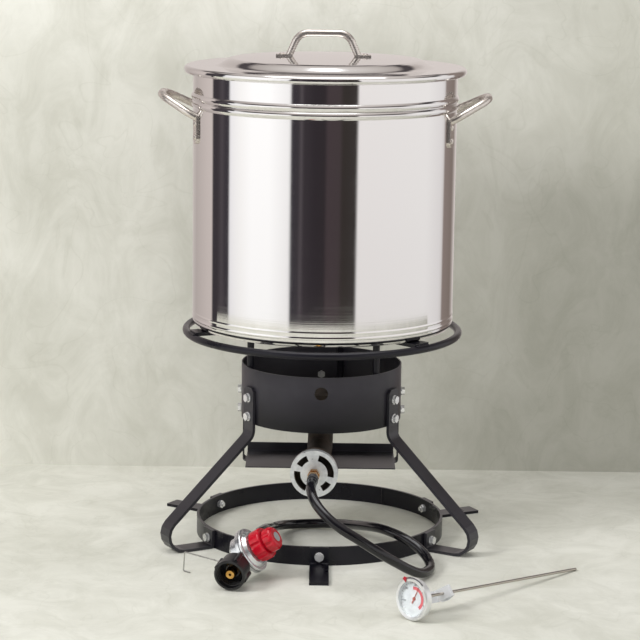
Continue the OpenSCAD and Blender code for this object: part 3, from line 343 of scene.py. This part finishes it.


# Painted shade ramps: the wall darkens from left to right, less near its top; the floor varies mildly across.
FLOOR_PAINTED_SHADE = [(0.0, "#dddcd3"), (0.5, "#e9e8df"), (1.0, "#e4e3da")]
WALL_PAINTED_SHADE_LOW = [(0.0, "#e2e1d8"), (0.3, "#d8d7ce"), (0.7, "#c7c6bc"), (1.0, "#b9b8ae")]
WALL_PAINTED_SHADE_HIGH = [(0.0, "#e6e5dc"), (0.3, "#e6e5dc"), (0.62, "#e9e8df"), (0.8, "#dcdbd2"), (1.0, "#d8d7cd")]
floor_plaster = trowelled_plaster("pale_floor_plaster", FLOOR_PAINTED_SHADE, FLOOR_PAINTED_SHADE)
wall_plaster = trowelled_plaster("wall_plaster_painted_shade", WALL_PAINTED_SHADE_LOW, WALL_PAINTED_SHADE_HIGH, clear_back=True)
studio.data.materials.append(floor_plaster)
back_floor.data.materials.append(floor_plaster)
backdrop.data.materials.append(wall_plaster)
print("plasters:", floor_plaster.name, wall_plaster.name)

# %% [markdown]
# They are hidden from mirror rays, because the steel's reflections come from the world instead.

# %% Soft lamps
def soft_lamp(name, at, aim, size, watts):
    data = bpy.data.lights.new(name, "AREA")
    data.shape = "RECTANGLE"
    data.size, data.size_y = size
    data.energy = watts
    lamp = bpy.data.objects.new(name, data)
    bpy.context.scene.collection.objects.link(lamp)
    lamp.location = at
    lamp.rotation_euler = (Vector(aim) - Vector(at)).to_track_quat("-Z", "Y").to_euler()
    lamp.visible_glossy = False
    return lamp


lamps = [
    soft_lamp("left_window", (-2.3, -1.5, 2.1), (0, 0, 0.3), (1.1, 1.1), 62),
    soft_lamp("right_card", (2.6, -1.6, 1.2), (0, 0, 0.3), (1.6, 1.6), 14),
    soft_lamp("top_card", (0.0, -0.7, 3.0), (0, 0, 0.3), (2.0, 2.0), 28),
    soft_lamp("front_card", (0.2, -3.4, 0.75), (0, 0, 0.25), (1.2, 1.0), 26),
]
print("lamps:", [lamp.name for lamp in lamps])

# %% [markdown]
# Polished steel shows what stands round it. Mirror rays see a ring of bearings: a grey far left, a dark
# stand, a white left card, the dark room behind the camera, a white right card and a brown-grey far right.
# Above them the wall ends in a dark line under a grey ceiling with a round white lamp in its middle, which
# draws the light lines on the hose and the knob, and the ring fades a little downwards. The camera sees a
# pale surround past the wall, and every other ray an even grey.

# %% World that polished steel can mirror
world = bpy.data.worlds.new("studio_surround")
bpy.context.scene.world = world
world.use_nodes = True
tree = world.node_tree
background = next(n for n in tree.nodes if n.type == "BACKGROUND")
way = add(tree, "SeparateXYZ", {"Vector": add(tree, "TexCoord").outputs["Generated"]})
ahead = add(tree, "Math", {0: way.outputs["Y"], 1: -1.0}, operation="MULTIPLY").outputs[0]
bearing = add(tree, "Math", {0: way.outputs["X"], 1: ahead}, operation="ARCTAN2").outputs[0]
turn_share = add(tree, "MapRange", {"Value": bearing, "From Min": -math.pi, "From Max": math.pi}).outputs[0]
SURROUND = [
    (-180, "#c5bdb9"), (-150, "#ada4a0"), (-122, "#c1b7b3"), (-115, "#c4bab6"), (-112.5, "#3a363a"),
    (-106, "#3a3539"), (-100, "#4b464a"), (-95, "#3a363b"), (-91.5, "#3c393e"), (-89.5, "#e9e8ea"),
    (-78, "#f6f5f4"), (-66, "#ffffff"), (-48, "#ffffff"), (-30, "#efeeee"), (-28, "#38343a"),
    (-22, "#3a363a"), (-20, "#524c50"), (-17.5, "#383337"), (-8, "#302b2f"), (0, "#302b2e"),
    (3, "#433a3d"), (13, "#423a3c"), (16, "#342f2d"), (27.5, "#383433"), (29.5, "#e3e0df"),
    (100, "#e4e2e1"), (122, "#d8d5d5"), (127, "#cdc9c8"), (130, "#857974"), (150, "#796e68"),
    (166, "#c5bdb9"),
]
RING_TOP_Z = (0.46, 0.52)
RING_FADE_Z = (-0.24, -0.08)
RING_GLOW = (1.08, 1.26)
LAMP_EDGE_Z = (0.9, 0.92)
LAMP_GLOW = 3.2
EVEN_GREY, PALE_SURROUND = linear("#929294"), linear("#d6d5cf")
ring = ramp(tree, turn_share, [((degrees + 180) / 360, code) for degrees, code in SURROUND])
overhead = ramp(tree, way.outputs["Z"], [
    (0.5, "#464143"), (0.6, "#4a4547"), (0.66, "#a39c98"), (0.8, "#bdb7b3"), (0.89, "#cfcac7"),
    (0.91, "#ffffff"),
])
above = add(tree, "MapRange", {
    "Value": way.outputs["Z"], "From Min": RING_TOP_Z[0], "From Max": RING_TOP_Z[1],
}).outputs[0]
mirrored = add(tree, "Mix", {"Factor": above, 6: ring, 7: overhead}, data_type="RGBA")
ring_glow = add(tree, "MapRange", {
    "Value": way.outputs["Z"], "From Min": RING_FADE_Z[0], "From Max": RING_FADE_Z[1],
    "To Min": RING_GLOW[0], "To Max": RING_GLOW[1],
}).outputs[0]
lamp_glow = add(tree, "MapRange", {
    "Value": way.outputs["Z"], "From Min": LAMP_EDGE_Z[0], "From Max": LAMP_EDGE_Z[1],
    "To Min": 1.0, "To Max": LAMP_GLOW,
}).outputs[0]
mirror_glow = add(tree, "Math", {0: ring_glow, 1: lamp_glow}, operation="MULTIPLY").outputs[0]
rays = add(tree, "LightPath")
straight = add(tree, "Mix", {
    "Factor": rays.outputs["Is Camera Ray"], 6: EVEN_GREY, 7: PALE_SURROUND,
}, data_type="RGBA")
mirror_ray = rays.outputs["Is Glossy Ray"]
seen = add(tree, "Mix", {
    "Factor": mirror_ray, 6: straight.outputs[2], 7: mirrored.outputs[2],
}, data_type="RGBA")
glow = add(tree, "Mix", {"Factor": mirror_ray, 2: 1.0, 3: mirror_glow}, data_type="FLOAT").outputs[0]
tree.links.new(seen.outputs[2], background.inputs["Color"])
tree.links.new(glow, background.inputs["Strength"])
bpy.context.scene.view_settings.view_transform = "Standard"
print("world has", len(SURROUND), "bearings")

# %% [markdown]
# ## Stainless steel of the pot and the lid
# The pot is drawn from 18/8 stainless sheet and buffed on a lathe. The eye sees a mirror that is softened a
# little, with very fine lines that run round the wall. Noise that is stretched round the pot's axis gives
# the lines, and slow noise gives the faint clouds of handling. The lines are drawn about a millimetre apart,
# coarser than the real ones, so that they show. Rods and pressings are left satin, and their worn skin scatters
# a part of the light, so they are a little less than full metal.

# %% Buffed stainless steel
LINE_MM, HANDLING_MM, DENT_MM = 1.2, 60, 110
LINE_STRETCH = 3.0
LINE_DEPTH = 0.2


def buffed_stainless(name, colour, low, high, dent, metallic=1.0):
    material, tree, shader, place = new_finish(name)
    round_the_pot = (LINE_STRETCH, LINE_STRETCH, per_metre(LINE_MM))
    lines_place = add(tree, "Mapping", {"Vector": place, "Scale": round_the_pot})
    lines = add(tree, "TexNoise", {"Vector": lines_place.outputs[0], "Scale": 1.0, "Detail": 3})
    clouds = add(tree, "TexNoise", {"Vector": place, "Scale": per_metre(HANDLING_MM), "Detail": 4})
    waves = add(tree, "TexNoise", {"Vector": place, "Scale": per_metre(DENT_MM), "Detail": 1})
    blend = add(tree, "Math", {0: lines.outputs["Fac"], 1: clouds.outputs["Fac"]}, operation="MULTIPLY")
    rough = add(tree, "MapRange", {
        "Value": blend.outputs[0], "From Min": 0.1, "From Max": 0.45, "To Min": low, "To Max": high,
    })
    sheet = add(tree, "Bump", {"Height": waves.outputs["Fac"], "Strength": 0.2, "Distance": dent * MM})
    bump = add(tree, "Bump", {
        "Height": lines.outputs["Fac"], "Strength": 0.02, "Distance": LINE_DEPTH * MM,
        "Normal": sheet.outputs[0],
    })
    shader.inputs["Base Color"].default_value = linear(colour)
    shader.inputs["Metallic"].default_value = metallic
    tree.links.new(rough.outputs[0], shader.inputs["Roughness"])
    tree.links.new(bump.outputs[0], shader.inputs["Normal"])
    return material


# In each row: colour, lowest and highest roughness, depth of the dents in millimetres, share of metal.
pot_steel = buffed_stainless("buffed_stainless_sheet", "#e9e7e6", 0.03, 0.09, 0.4)
handle_steel = buffed_stainless("satin_stainless_rod", "#d8d1ca", 0.22, 0.32, 0.05, 0.86)
dial_steel = buffed_stainless("bright_stainless_pressing", "#e9eaea", 0.3, 0.4, 0.05, 0.7)
clip_steel = buffed_stainless("pressed_stainless_strip", "#eef0f2", 0.34, 0.46, 0.05, 0.65)
stem_steel = buffed_stainless("drawn_stainless_tube", "#b3ada5", 0.16, 0.24, 0.02)
stainless = (pot_steel, handle_steel, dial_steel, clip_steel, stem_steel)
print("stainless finishes:", [finish.name for finish in stainless])

# %% [markdown]
# ## Paint, plating, castings, rubber and plastic
# Most other surfaces are one base colour broken up by two noises. A fine one, about a millimetre wide, is the
# grain: the orange peel of paint, the skin of a casting or the drawn surface of rubber. A wider one is the
# clouds in tone and gloss that handling, plating and dust leave.

# %% A grainy finish
def grainy_finish(name, dark, light, rough, grain_mm, depth_mm, cloud_mm, metallic=0.0, spread=0.1):
    material, tree, shader, place = new_finish(name)
    grain = add(tree, "TexNoise", {"Vector": place, "Scale": per_metre(grain_mm), "Detail": 4})
    cloud = add(tree, "TexNoise", {"Vector": place, "Scale": per_metre(cloud_mm), "Detail": 5})
    tone = ramp(tree, cloud.outputs["Fac"], [(0.32, dark), (0.68, light)])
    roughness = add(tree, "MapRange", {
        "Value": cloud.outputs["Fac"], "From Min": 0.3, "From Max": 0.7,
        "To Min": rough - spread / 2, "To Max": rough + spread / 2,
    })
    bump = add(tree, "Bump", {"Height": grain.outputs["Fac"], "Strength": 0.4, "Distance": depth_mm * MM})
    tree.links.new(tone, shader.inputs["Base Color"])
    tree.links.new(roughness.outputs[0], shader.inputs["Roughness"])
    tree.links.new(bump.outputs[0], shader.inputs["Normal"])
    shader.inputs["Metallic"].default_value = metallic
    return material


# In each row: dark and light tone, roughness, width and depth of the grain and width of the clouds in
# millimetres, share of metal, spread of the roughness.
# Stove paint: a matte black with a blue cast, an orange peel and thin grey places.
stove_paint = grainy_finish("matte_black_stove_paint", "#1e1d23", "#29282e", 0.36, 1.2, 0.05, 70)
# Enamel on rings, supports and feet: a deeper black that hides the bar's mill scale and shows little glare.
bar_enamel = grainy_finish("black_bar_enamel", "#0f0e14", "#18171e", 0.29, 1.2, 0.05, 70)
LOW_GLARE = 0.3
bar_enamel.node_tree.nodes["Principled BSDF"].inputs["Specular IOR Level"].default_value = LOW_GLARE
# Zinc plate on bolts and nuts: bright, bluish white, a little cloudy.
zinc_plate = grainy_finish("zinc_plated_steel", "#e4e5e6", "#f6f6f6", 0.2, 1.5, 0.03, 6, 0.66)
# Pressed zinc-coated sheet of the air shutter: almost white, with soft spangles.
shutter_zinc = grainy_finish("spangled_zinc_sheet", "#c2c5c8", "#dee0e2", 0.32, 2.0, 0.04, 7, 0.6)
# Sand-cast grey iron: brown-grey, rough, with the sand's grain.
grey_iron = grainy_finish("sand_cast_iron", "#38322d", "#564c44", 0.72, 1.6, 0.25, 14, 0.3)
# Zinc die casting of the regulator: silver grey, fine tumbled skin.
die_cast = grainy_finish("zinc_die_casting", "#cdd0d2", "#e6e8e9", 0.22, 1.4, 0.04, 9, 0.85)
# Plain steel wire: grey and drawn smooth.
plain_steel = grainy_finish("drawn_steel_wire", "#a8a7a4", "#c5c4c1", 0.3, 1.0, 0.02, 8, 1.0)
# Turned brass: warm yellow, with light tarnish.
brass = grainy_finish("turned_brass", "#c8964c", "#e4b56c", 0.24, 0.9, 0.02, 7, 1.0)
# Crimped ferrules: one blackened, one plated.
crimp_black = grainy_finish("blackened_crimped_steel", "#2a292b", "#3a383a", 0.36, 1.0, 0.03, 8)
crimp_steel = grainy_finish("plated_crimped_steel", "#8f8f8d", "#b4b4b1", 0.32, 1.0, 0.03, 8, 0.9)
# Nitrile rubber: black, smooth from the die, with a wax bloom that gives a clear highlight along its top.
hose_rubber = grainy_finish("black_nitrile_rubber", "#0c0b0f", "#131217", 0.15, 0.9, 0.02, 25, 0.0, 0.03)
# Moulded ABS and nylon: even colour, soft gloss.
knob_red = grainy_finish("red_moulded_abs", "#a9091c", "#bf1128", 0.2, 1.1, 0.02, 14, 0.0, 0.08)
cap_grey = grainy_finish("grey_moulded_abs", "#8d9092", "#a4a7a8", 0.42, 1.0, 0.03, 8)
nut_black = grainy_finish("black_moulded_nylon", "#111113", "#1c1c1e", 0.34, 1.0, 0.05, 10)
print("grainy finishes made")

# %% [markdown]
# The wind guard has the stove paint too, with a painted shade in its colour: its tone goes from a deep black
# at the bottom to a dark grey near the top.

# %% Stove paint of the wind guard, with a painted shade towards the bottom
GUARD_LOW, GUARD_HIGH = 172, 222
SOOT_MM, PEEL_MM, PEEL_DEPTH = 55, 1.2, 0.05
guard_paint, tree, shader, place = new_finish("stove_paint_painted_shade")
height = add(tree, "SeparateXYZ", {"Vector": place}).outputs["Z"]
# Painted shade: the colour darkens towards the bottom of the guard.
painted_shade_mask = add(tree, "MapRange", {
    "Value": height, "From Min": GUARD_LOW * MM, "From Max": GUARD_HIGH * MM,
}).outputs[0]
soot = add(tree, "TexNoise", {"Vector": place, "Scale": per_metre(SOOT_MM), "Detail": 5})
peel = add(tree, "TexNoise", {"Vector": place, "Scale": per_metre(PEEL_MM), "Detail": 4})
painted_shade_black = ramp(tree, soot.outputs["Fac"], [(0.32, "#0b0a0e"), (0.68, "#121115")])
pale = ramp(tree, soot.outputs["Fac"], [(0.32, "#312f35"), (0.68, "#3b393f")])
guard_tone = add(tree, "Mix", {"Factor": painted_shade_mask, 6: painted_shade_black, 7: pale}, data_type="RGBA")
guard_rough = add(tree, "MapRange", {"Value": soot.outputs["Fac"], "To Min": 0.34, "To Max": 0.44})
guard_peel = add(tree, "Bump", {"Height": peel.outputs["Fac"], "Strength": 0.4, "Distance": PEEL_DEPTH * MM})
tree.links.new(guard_tone.outputs[2], shader.inputs["Base Color"])
tree.links.new(guard_rough.outputs[0], shader.inputs["Roughness"])
tree.links.new(guard_peel.outputs[0], shader.inputs["Normal"])
shader.inputs["Specular IOR Level"].default_value = LOW_GLARE
print("guard finish:", guard_paint.name)

# %% [markdown]
# The heat shield is a bare rolled plate, dark grey with a soft sheen from the wall behind it. Above the plate
# the colour is darker: on the raised back edge this is painted shade, and on the straps it is their black
# paint, so the tone changes with the height just above the plate.

# %% Rolled plate, darker above it: painted shade on the back edge, black paint on the straps
PLATE_TOP, SHADE_EDGE = 103.4, 104.4
MILL_MARK_MM = 45
shield_plate, tree, shader, place = new_finish("rolled_steel_plate")
height = add(tree, "SeparateXYZ", {"Vector": place}).outputs["Z"]
# Painted shade: the colour above the plate top is darker for the back edge's shadow, and for the straps' black
# paint.
shaded_back_edge = add(tree, "MapRange", {
    "Value": height, "From Min": PLATE_TOP * MM, "From Max": SHADE_EDGE * MM,
}).outputs[0]
mill_marks = add(tree, "TexNoise", {"Vector": place, "Scale": per_metre(MILL_MARK_MM), "Detail": 5})
bare = ramp(tree, mill_marks.outputs["Fac"], [(0.32, "#38373b"), (0.68, "#4e4d52")])
shade_and_black_coat = ramp(tree, mill_marks.outputs["Fac"], [(0.32, "#343236"), (0.68, "#424044")])
plate_tone = add(tree, "Mix", {"Factor": shaded_back_edge, 6: bare, 7: shade_and_black_coat}, data_type="RGBA")
plate_rough = add(tree, "MapRange", {"Value": mill_marks.outputs["Fac"], "To Min": 0.3, "To Max": 0.44})
tree.links.new(plate_tone.outputs[2], shader.inputs["Base Color"])
tree.links.new(plate_rough.outputs[0], shader.inputs["Roughness"])
shader.inputs["Metallic"].default_value = 0.5
print("shield finish:", shield_plate.name)

# %% [markdown]
# ## Thermometer's finishes
# The dial is a white enamelled disc under a clear glass, and its print is thin paint. The marker is a steel
# wire clip round the bezel whose pointer alone is dipped in red, so its colour changes with the distance from
# the pointer's middle.

# %% Enamel, ink, dipped wire and glass
MARKER_AT = 27
POINTER_X, POINTER_R = 319, 26
DIP_FROM, DIP_TO = 4.2, 5.0
SCUFF_MM, SMEAR_MM = 2, 9
GLASS_IOR = 1.45
dial_white = grainy_finish("white_dial_enamel", "#b9bcbf", "#c8cacb", 0.45, 0.6, 0.01, 8)
ink_black = grainy_finish("black_dial_ink", "#2a2a2c", "#38383a", 0.5, 0.6, 0.01, 6)
ink_red = grainy_finish("red_dial_ink", "#b23a45", "#bd4a52", 0.5, 0.6, 0.01, 6)
needle_paint = grainy_finish("brown_red_needle_paint", "#8c3a30", "#a04a3c", 0.45, 0.6, 0.01, 6)

dipped_wire, tree, shader, place = new_finish("red_dipped_steel_wire")
marker_turn = math.radians(MARKER_AT)
pointer_side = -POINTER_R * math.sin(marker_turn)
pointer_top = POINTER_R * math.cos(marker_turn)
pointer_mid = thermo_frame @ (Vector((POINTER_X, pointer_side, pointer_top)) * MM)
away = add(tree, "VectorMath", {0: place, 1: tuple(pointer_mid)}, operation="DISTANCE").outputs["Value"]
past = add(tree, "MapRange", {"Value": away, "From Min": DIP_FROM * MM, "From Max": DIP_TO * MM}).outputs[0]
scuffs = add(tree, "TexNoise", {"Vector": place, "Scale": per_metre(SCUFF_MM), "Detail": 3})
dip = ramp(tree, scuffs.outputs["Fac"], [(0.3, "#9c1024"), (0.7, "#b41c31")])
wire = ramp(tree, scuffs.outputs["Fac"], [(0.3, "#47454a"), (0.7, "#5e5c60")])
dipped = add(tree, "Mix", {"Factor": past, 6: dip, 7: wire}, data_type="RGBA")
gloss = add(tree, "MapRange", {"Value": scuffs.outputs["Fac"], "To Min": 0.28, "To Max": 0.45})
tree.links.new(dipped.outputs[2], shader.inputs["Base Color"])
tree.links.new(gloss.outputs[0], shader.inputs["Roughness"])

dial_glass, tree, shader, place = new_finish("clear_dial_glass")
shader.inputs["Base Color"].default_value = linear("#f6f8f8")
shader.inputs["Transmission Weight"].default_value = 1.0
shader.inputs["IOR"].default_value = GLASS_IOR
smears = add(tree, "TexNoise", {"Vector": place, "Scale": per_metre(SMEAR_MM), "Detail": 3})
film = add(tree, "MapRange", {"Value": smears.outputs["Fac"], "To Min": 0.01, "To Max": 0.05})
tree.links.new(film.outputs[0], shader.inputs["Roughness"])
nodes["thermometer_lens"].visible_shadow = False
print("thermometer finishes made")

# %% [markdown]
# ## Dressing the CAD pieces
# Every CAD node keeps its shape and gets the finish of the real piece.

# %% Give each CAD node its finish
FINISHES = {
    guard_paint: ["wind_guard"],
    stove_paint: ["burner_bracket", "leg_right", "leg_left", "leg_back"],
    bar_enamel: [
        "top_ring", "pot_support_right", "pot_support_left", "pot_support_back", "base_ring", "foot_front",
        "foot_right", "foot_left",
    ],
    shield_plate: ["heat_shield"],
    zinc_plate: ["guard_bolts", "guard_nuts", "base_bolts", "base_nuts", "burner_bolts"],
    grey_iron: ["burner_casting", "burner_cap"],
    shutter_zinc: ["air_shutter"],
    brass: ["orifice_fitting", "inlet_nipple"],
    crimp_black: ["burner_ferrule"],
    crimp_steel: ["regulator_ferrule"],
    hose_rubber: ["gas_hose", "regulator_diaphragm", "nipple_seal"],
    die_cast: ["regulator_body", "regulator_bonnet"],
    plain_steel: ["regulator_spring", "adjusting_screw", "tie_wire"],
    knob_red: ["pressure_knob"],
    cap_grey: ["knob_cap"],
    nut_black: ["tank_nut"],
    pot_steel: ["pot_shell", "lid_shell"],
    handle_steel: ["pot_handle_right", "pot_handle_left", "pot_rivets", "lid_handle", "lid_rivets"],
    stem_steel: ["thermometer_stem"],
    clip_steel: ["thermometer_clip"],
    dial_steel: ["thermometer_case", "thermometer_bezel"],
    dial_white: ["thermometer_dial"],
    dial_glass: ["thermometer_lens"],
    needle_paint: ["thermometer_needle"],
    dipped_wire: ["target_marker"],
}
for material, names in FINISHES.items():
    for name in names:
        nodes[name].data.materials.clear()
        nodes[name].data.materials.append(material)
rubber_hose.data.materials.append(hose_rubber)
print("nodes dressed:", sum(len(names) for names in FINISHES.values()))

# %% [markdown]
# ## Setting small pieces down
# A small piece is modelled at the origin, lying straight, and is then set in its place with its object left
# at the origin, as the CAD nodes are.

# %% Helper that sets a piece down
def settle(piece, name, place, body, material):
    piece.name = name
    piece.data.name = name
    piece.matrix_world = place
    only(piece)
    bpy.ops.object.transform_apply(location=True, rotation=True, scale=True)
    piece.data.materials.clear()
    piece.data.materials.append(material)
    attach(piece, body)
    return piece


def edit_all(piece):
    only(piece)
    bpy.ops.object.mode_set(mode="EDIT")
    bpy.ops.mesh.select_mode(type="VERT")
    bpy.ops.mesh.select_all(action="SELECT")


def copy_of(piece):
    twin = piece.copy()
    twin.data = piece.data.copy()
    bpy.context.scene.collection.objects.link(twin)
    return twin


def apply(piece, kind, **settings):
    only(piece)
    modifier = piece.modifiers.new(kind.lower(), kind)
    for name, value in settings.items():
        setattr(modifier, name, value)
    bpy.ops.object.modifier_apply(modifier=modifier.name)


# %% [markdown]
# ## Weld beads
# The bars are welded before they are painted. A bead is a row of small puddles, each overlapping the last.
# One flattened ball is repeated by an Array, the row is skinned by a voxel Remesh and smoothed, and the bead
# is copied to each joint of the bars: where the supports meet the top ring, where the risers meet the wind
# guard, and along the seams of the base ring and the guard.

# %% Bead of a given length
PUDDLE_STEP = 0.4
PUDDLE_SHAPE = (0.7, 1.0, 0.55)
VOXELS_ACROSS = 9


def weld_bead(length, width):
    step = width * PUDDLE_STEP
    count = max(3, int(length / step))
    bpy.ops.object.select_all(action="DESELECT")
    bpy.ops.mesh.primitive_uv_sphere_add(segments=14, ring_count=8, radius=width / 2 * MM)
    bead = bpy.context.object
    edit_all(bead)
    bpy.ops.transform.resize(value=PUDDLE_SHAPE)
    bpy.ops.transform.translate(value=(-(count - 1) * step / 2 * MM, 0, 0))
    bpy.ops.object.mode_set(mode="OBJECT")
    apply(
        bead, "ARRAY", count=count, use_relative_offset=False, use_constant_offset=True,
        constant_offset_displace=(step * MM, 0, 0),
    )
    apply(bead, "REMESH", mode="VOXEL", voxel_size=width / VOXELS_ACROSS * MM)
    apply(bead, "SMOOTH", factor=0.5, iterations=3)
    only(bead)
    bpy.ops.object.shade_smooth()
    return bead


def weld(bead, name, place, finish):
    settle(bead, name, place, "stand", finish)


# %% Beads on the stand
SUPPORT_AT = (45, -69, 165)
RING_R, SUPPORT_Z = 186.5, 289.2
OUTER_OUT, OUTER_UP = 1.2, 1.9
INNER_IN, INNER_DOWN = 4.4, 0.6
RISER_SIDE, RISER_HALF = 107.0, 3.4
GUARD_MID_Z, BASE_MID_Z = 203, 12.8
BASE_SEAM_AT, GUARD_SEAM_AT = 147, 150
BASE_SEAM_R = {"inside": 167.7, "outside": 171.0}
GUARD_SEAM_R = 110.0
upright = turned("Y", -90)
sideways = turned("Z", 90)
ring_bead = weld_bead(length=24, width=4.5)
riser_bead = weld_bead(length=26, width=4)
for index, azimuth in enumerate(SUPPORT_AT, 1):
    spot = at_azimuth(azimuth)
    outer = spot @ shifted(RING_R + OUTER_OUT, 0, SUPPORT_Z + OUTER_UP) @ sideways
    inner = spot @ shifted(RING_R - INNER_IN, 0, SUPPORT_Z - INNER_DOWN) @ sideways
    weld(copy_of(ring_bead), f"support_weld_outer_{index}", outer, bar_enamel)
    weld(copy_of(ring_bead), f"support_weld_inner_{index}", inner, bar_enamel)
    for side, offset in (("a", -RISER_HALF), ("b", RISER_HALF)):
        along = spot @ shifted(RISER_SIDE, offset, GUARD_MID_Z) @ upright
        weld(copy_of(riser_bead), f"riser_weld_{index}{side}", along, stove_paint)
for bead in (ring_bead, riser_bead):
    bpy.data.objects.remove(bead)
for side, radius in BASE_SEAM_R.items():
    seam = at_azimuth(BASE_SEAM_AT) @ shifted(radius, 0, BASE_MID_Z) @ upright
    weld(weld_bead(length=22, width=4.5), f"base_seam_weld_{side}", seam, bar_enamel)
guard_seam = at_azimuth(GUARD_SEAM_AT) @ shifted(GUARD_SEAM_R, 0, GUARD_MID_Z) @ upright
weld(weld_bead(length=70, width=4), "guard_seam_weld", guard_seam, stove_paint)

# %% [markdown]
# ## Thread in the tank nut
# The nut that joins the gas bottle has a coarse rounded thread inside its mouth. A small eight-sided ring is
# drawn beside the axis and the Screw modifier winds it up. The ends are closed afterwards.

# %% Inner thread
THREAD_R, THREAD_HALF = 17.2, 1.3
THREAD_PITCH, THREAD_TURNS = 5, 3
THREAD_STEPS = 56
THREAD_FROM = 48
bpy.ops.object.select_all(action="DESELECT")
bpy.ops.mesh.primitive_circle_add(vertices=8, radius=THREAD_HALF * MM, fill_type="NOTHING")
thread = bpy.context.object
edit_all(thread)
bpy.ops.transform.rotate(value=math.pi / 2, orient_axis="X", center_override=(0, 0, 0))
bpy.ops.transform.translate(value=(THREAD_R * MM, 0, 0))
bpy.ops.object.mode_set(mode="OBJECT")
apply(
    thread, "SCREW", axis="Z", angle=2 * math.pi, screw_offset=THREAD_PITCH * MM, iterations=THREAD_TURNS,
    steps=THREAD_STEPS, render_steps=THREAD_STEPS,
)
edit_all(thread)
bpy.ops.mesh.remove_doubles(threshold=0.00001)
bpy.ops.mesh.fill_holes(sides=0)
bpy.ops.mesh.normals_make_consistent(inside=False)
bpy.ops.object.mode_set(mode="OBJECT")
bpy.ops.object.shade_smooth_by_angle(angle=math.radians(50))
thread_place = reg_frame @ shifted(THREAD_FROM, 0, 0) @ turned("Y", 90)
settle(thread, "tank_nut_thread", thread_place, "nut", nut_black)
print("thread faces:", len(thread.data.polygons))

# %% [markdown]
# ## Print on the dial
# The dial carries a red band round its right side, a ring of ticks and plain numbers. The band is cut from a
# ring, the tick is one thin bar that is copied round, and the numbers are text made into a mesh. Each is a
# skin of paint about a tenth of a millimetre thick.

# %% Red band
PAINT = 0.12
BAND_IN, BAND_OUT = 11.2, 15.2
BAND_FROM, BAND_TO = -52, 104
BAND_STEPS = 120
PRINT_LIFT, TICK_LIFT = 0.05, 0.08
bpy.ops.object.select_all(action="DESELECT")
bpy.ops.mesh.primitive_circle_add(vertices=BAND_STEPS, radius=BAND_IN * MM, fill_type="NOTHING")
band = bpy.context.object
edit_all(band)
bpy.ops.mesh.extrude_region_move(TRANSFORM_OT_translate={"value": (0, 0, 0)})
bpy.ops.transform.resize(value=(BAND_OUT / BAND_IN, BAND_OUT / BAND_IN, 1), center_override=(0, 0, 0))
bpy.ops.mesh.select_mode(type="FACE")
bpy.ops.mesh.select_all(action="DESELECT")
bpy.ops.object.mode_set(mode="OBJECT")
for face in band.data.polygons:
    bearing_degrees = math.degrees(math.atan2(face.center.y, face.center.x))
    face.select = not BAND_FROM < bearing_degrees < BAND_TO
bpy.ops.object.mode_set(mode="EDIT")
bpy.ops.mesh.delete(type="FACE")
bpy.ops.mesh.select_all(action="SELECT")
bpy.ops.mesh.normals_make_consistent(inside=False)
bpy.ops.object.mode_set(mode="OBJECT")
apply(band, "SOLIDIFY", thickness=PAINT * MM, offset=0.0)
band_place = dial_frame @ shifted(0, 0, PRINT_LIFT)
settle(band, "dial_red_band", band_place, "thermometer", ink_red)
print("band faces:", len(band.data.polygons))

# %% Ticks
TICK_R, TICK_LONG, TICK_WIDE, TICK_BEVEL = 20.6, 1.9, 0.32, 0.03
LONGER = 1.45
SCALE_FROM, SCALE_SWEEP, TICKS = 225, -270, 28
bpy.ops.object.select_all(action="DESELECT")
bpy.ops.mesh.primitive_cube_add(size=1)
tick = bpy.context.object
edit_all(tick)
bpy.ops.transform.resize(value=(TICK_LONG * MM, TICK_WIDE * MM, PAINT * MM))
bpy.ops.mesh.bevel(offset=TICK_BEVEL * MM, segments=1)
bpy.ops.object.mode_set(mode="OBJECT")
ticks = []
for index in range(TICKS):
    longer = LONGER if index % 3 == 0 else 1.0
    mark = copy_of(tick)
    tick_turn = SCALE_FROM + SCALE_SWEEP * index / (TICKS - 1)
    mark.matrix_world = turned("Z", tick_turn) @ shifted(TICK_R, 0, 0)
    mark.scale = (longer, longer, 1)
    ticks.append(mark)
bpy.data.objects.remove(tick)
bpy.ops.object.select_all(action="DESELECT")
for mark in ticks:
    mark.select_set(True)
bpy.context.view_layer.objects.active = ticks[0]
bpy.ops.object.join()
scale_ticks = bpy.context.object
bpy.ops.object.transform_apply(location=True, rotation=True, scale=True)
tick_place = dial_frame @ shifted(0, 0, TICK_LIFT)
settle(scale_ticks, "dial_ticks", tick_place, "thermometer", ink_black)
print("ticks:", TICKS)

# %% Numbers
NUMBER_R, NUMBER_SIZE = 17.2, 3.2
NUMBERS = {"100": 198, "200": 144, "300": 90, "400": 36, "500": -18}
for digits, bearing_degrees in NUMBERS.items():
    bpy.ops.object.select_all(action="DESELECT")
    bpy.ops.object.text_add()
    number = bpy.context.object
    number.data.body = digits
    number.data.size = NUMBER_SIZE * MM
    number.data.align_x = "CENTER"
    number.data.align_y = "CENTER"
    number.data.extrude = PAINT / 2 * MM
    only(number)
    bpy.ops.object.convert(target="MESH")
    number = bpy.context.object
    angle = math.radians(bearing_degrees)
    spot = shifted(NUMBER_R * math.cos(angle), NUMBER_R * math.sin(angle), PRINT_LIFT)
    settle(number, f"dial_number_{digits}", dial_frame @ spot, "thermometer", ink_black)
print("numbers:", list(NUMBERS))
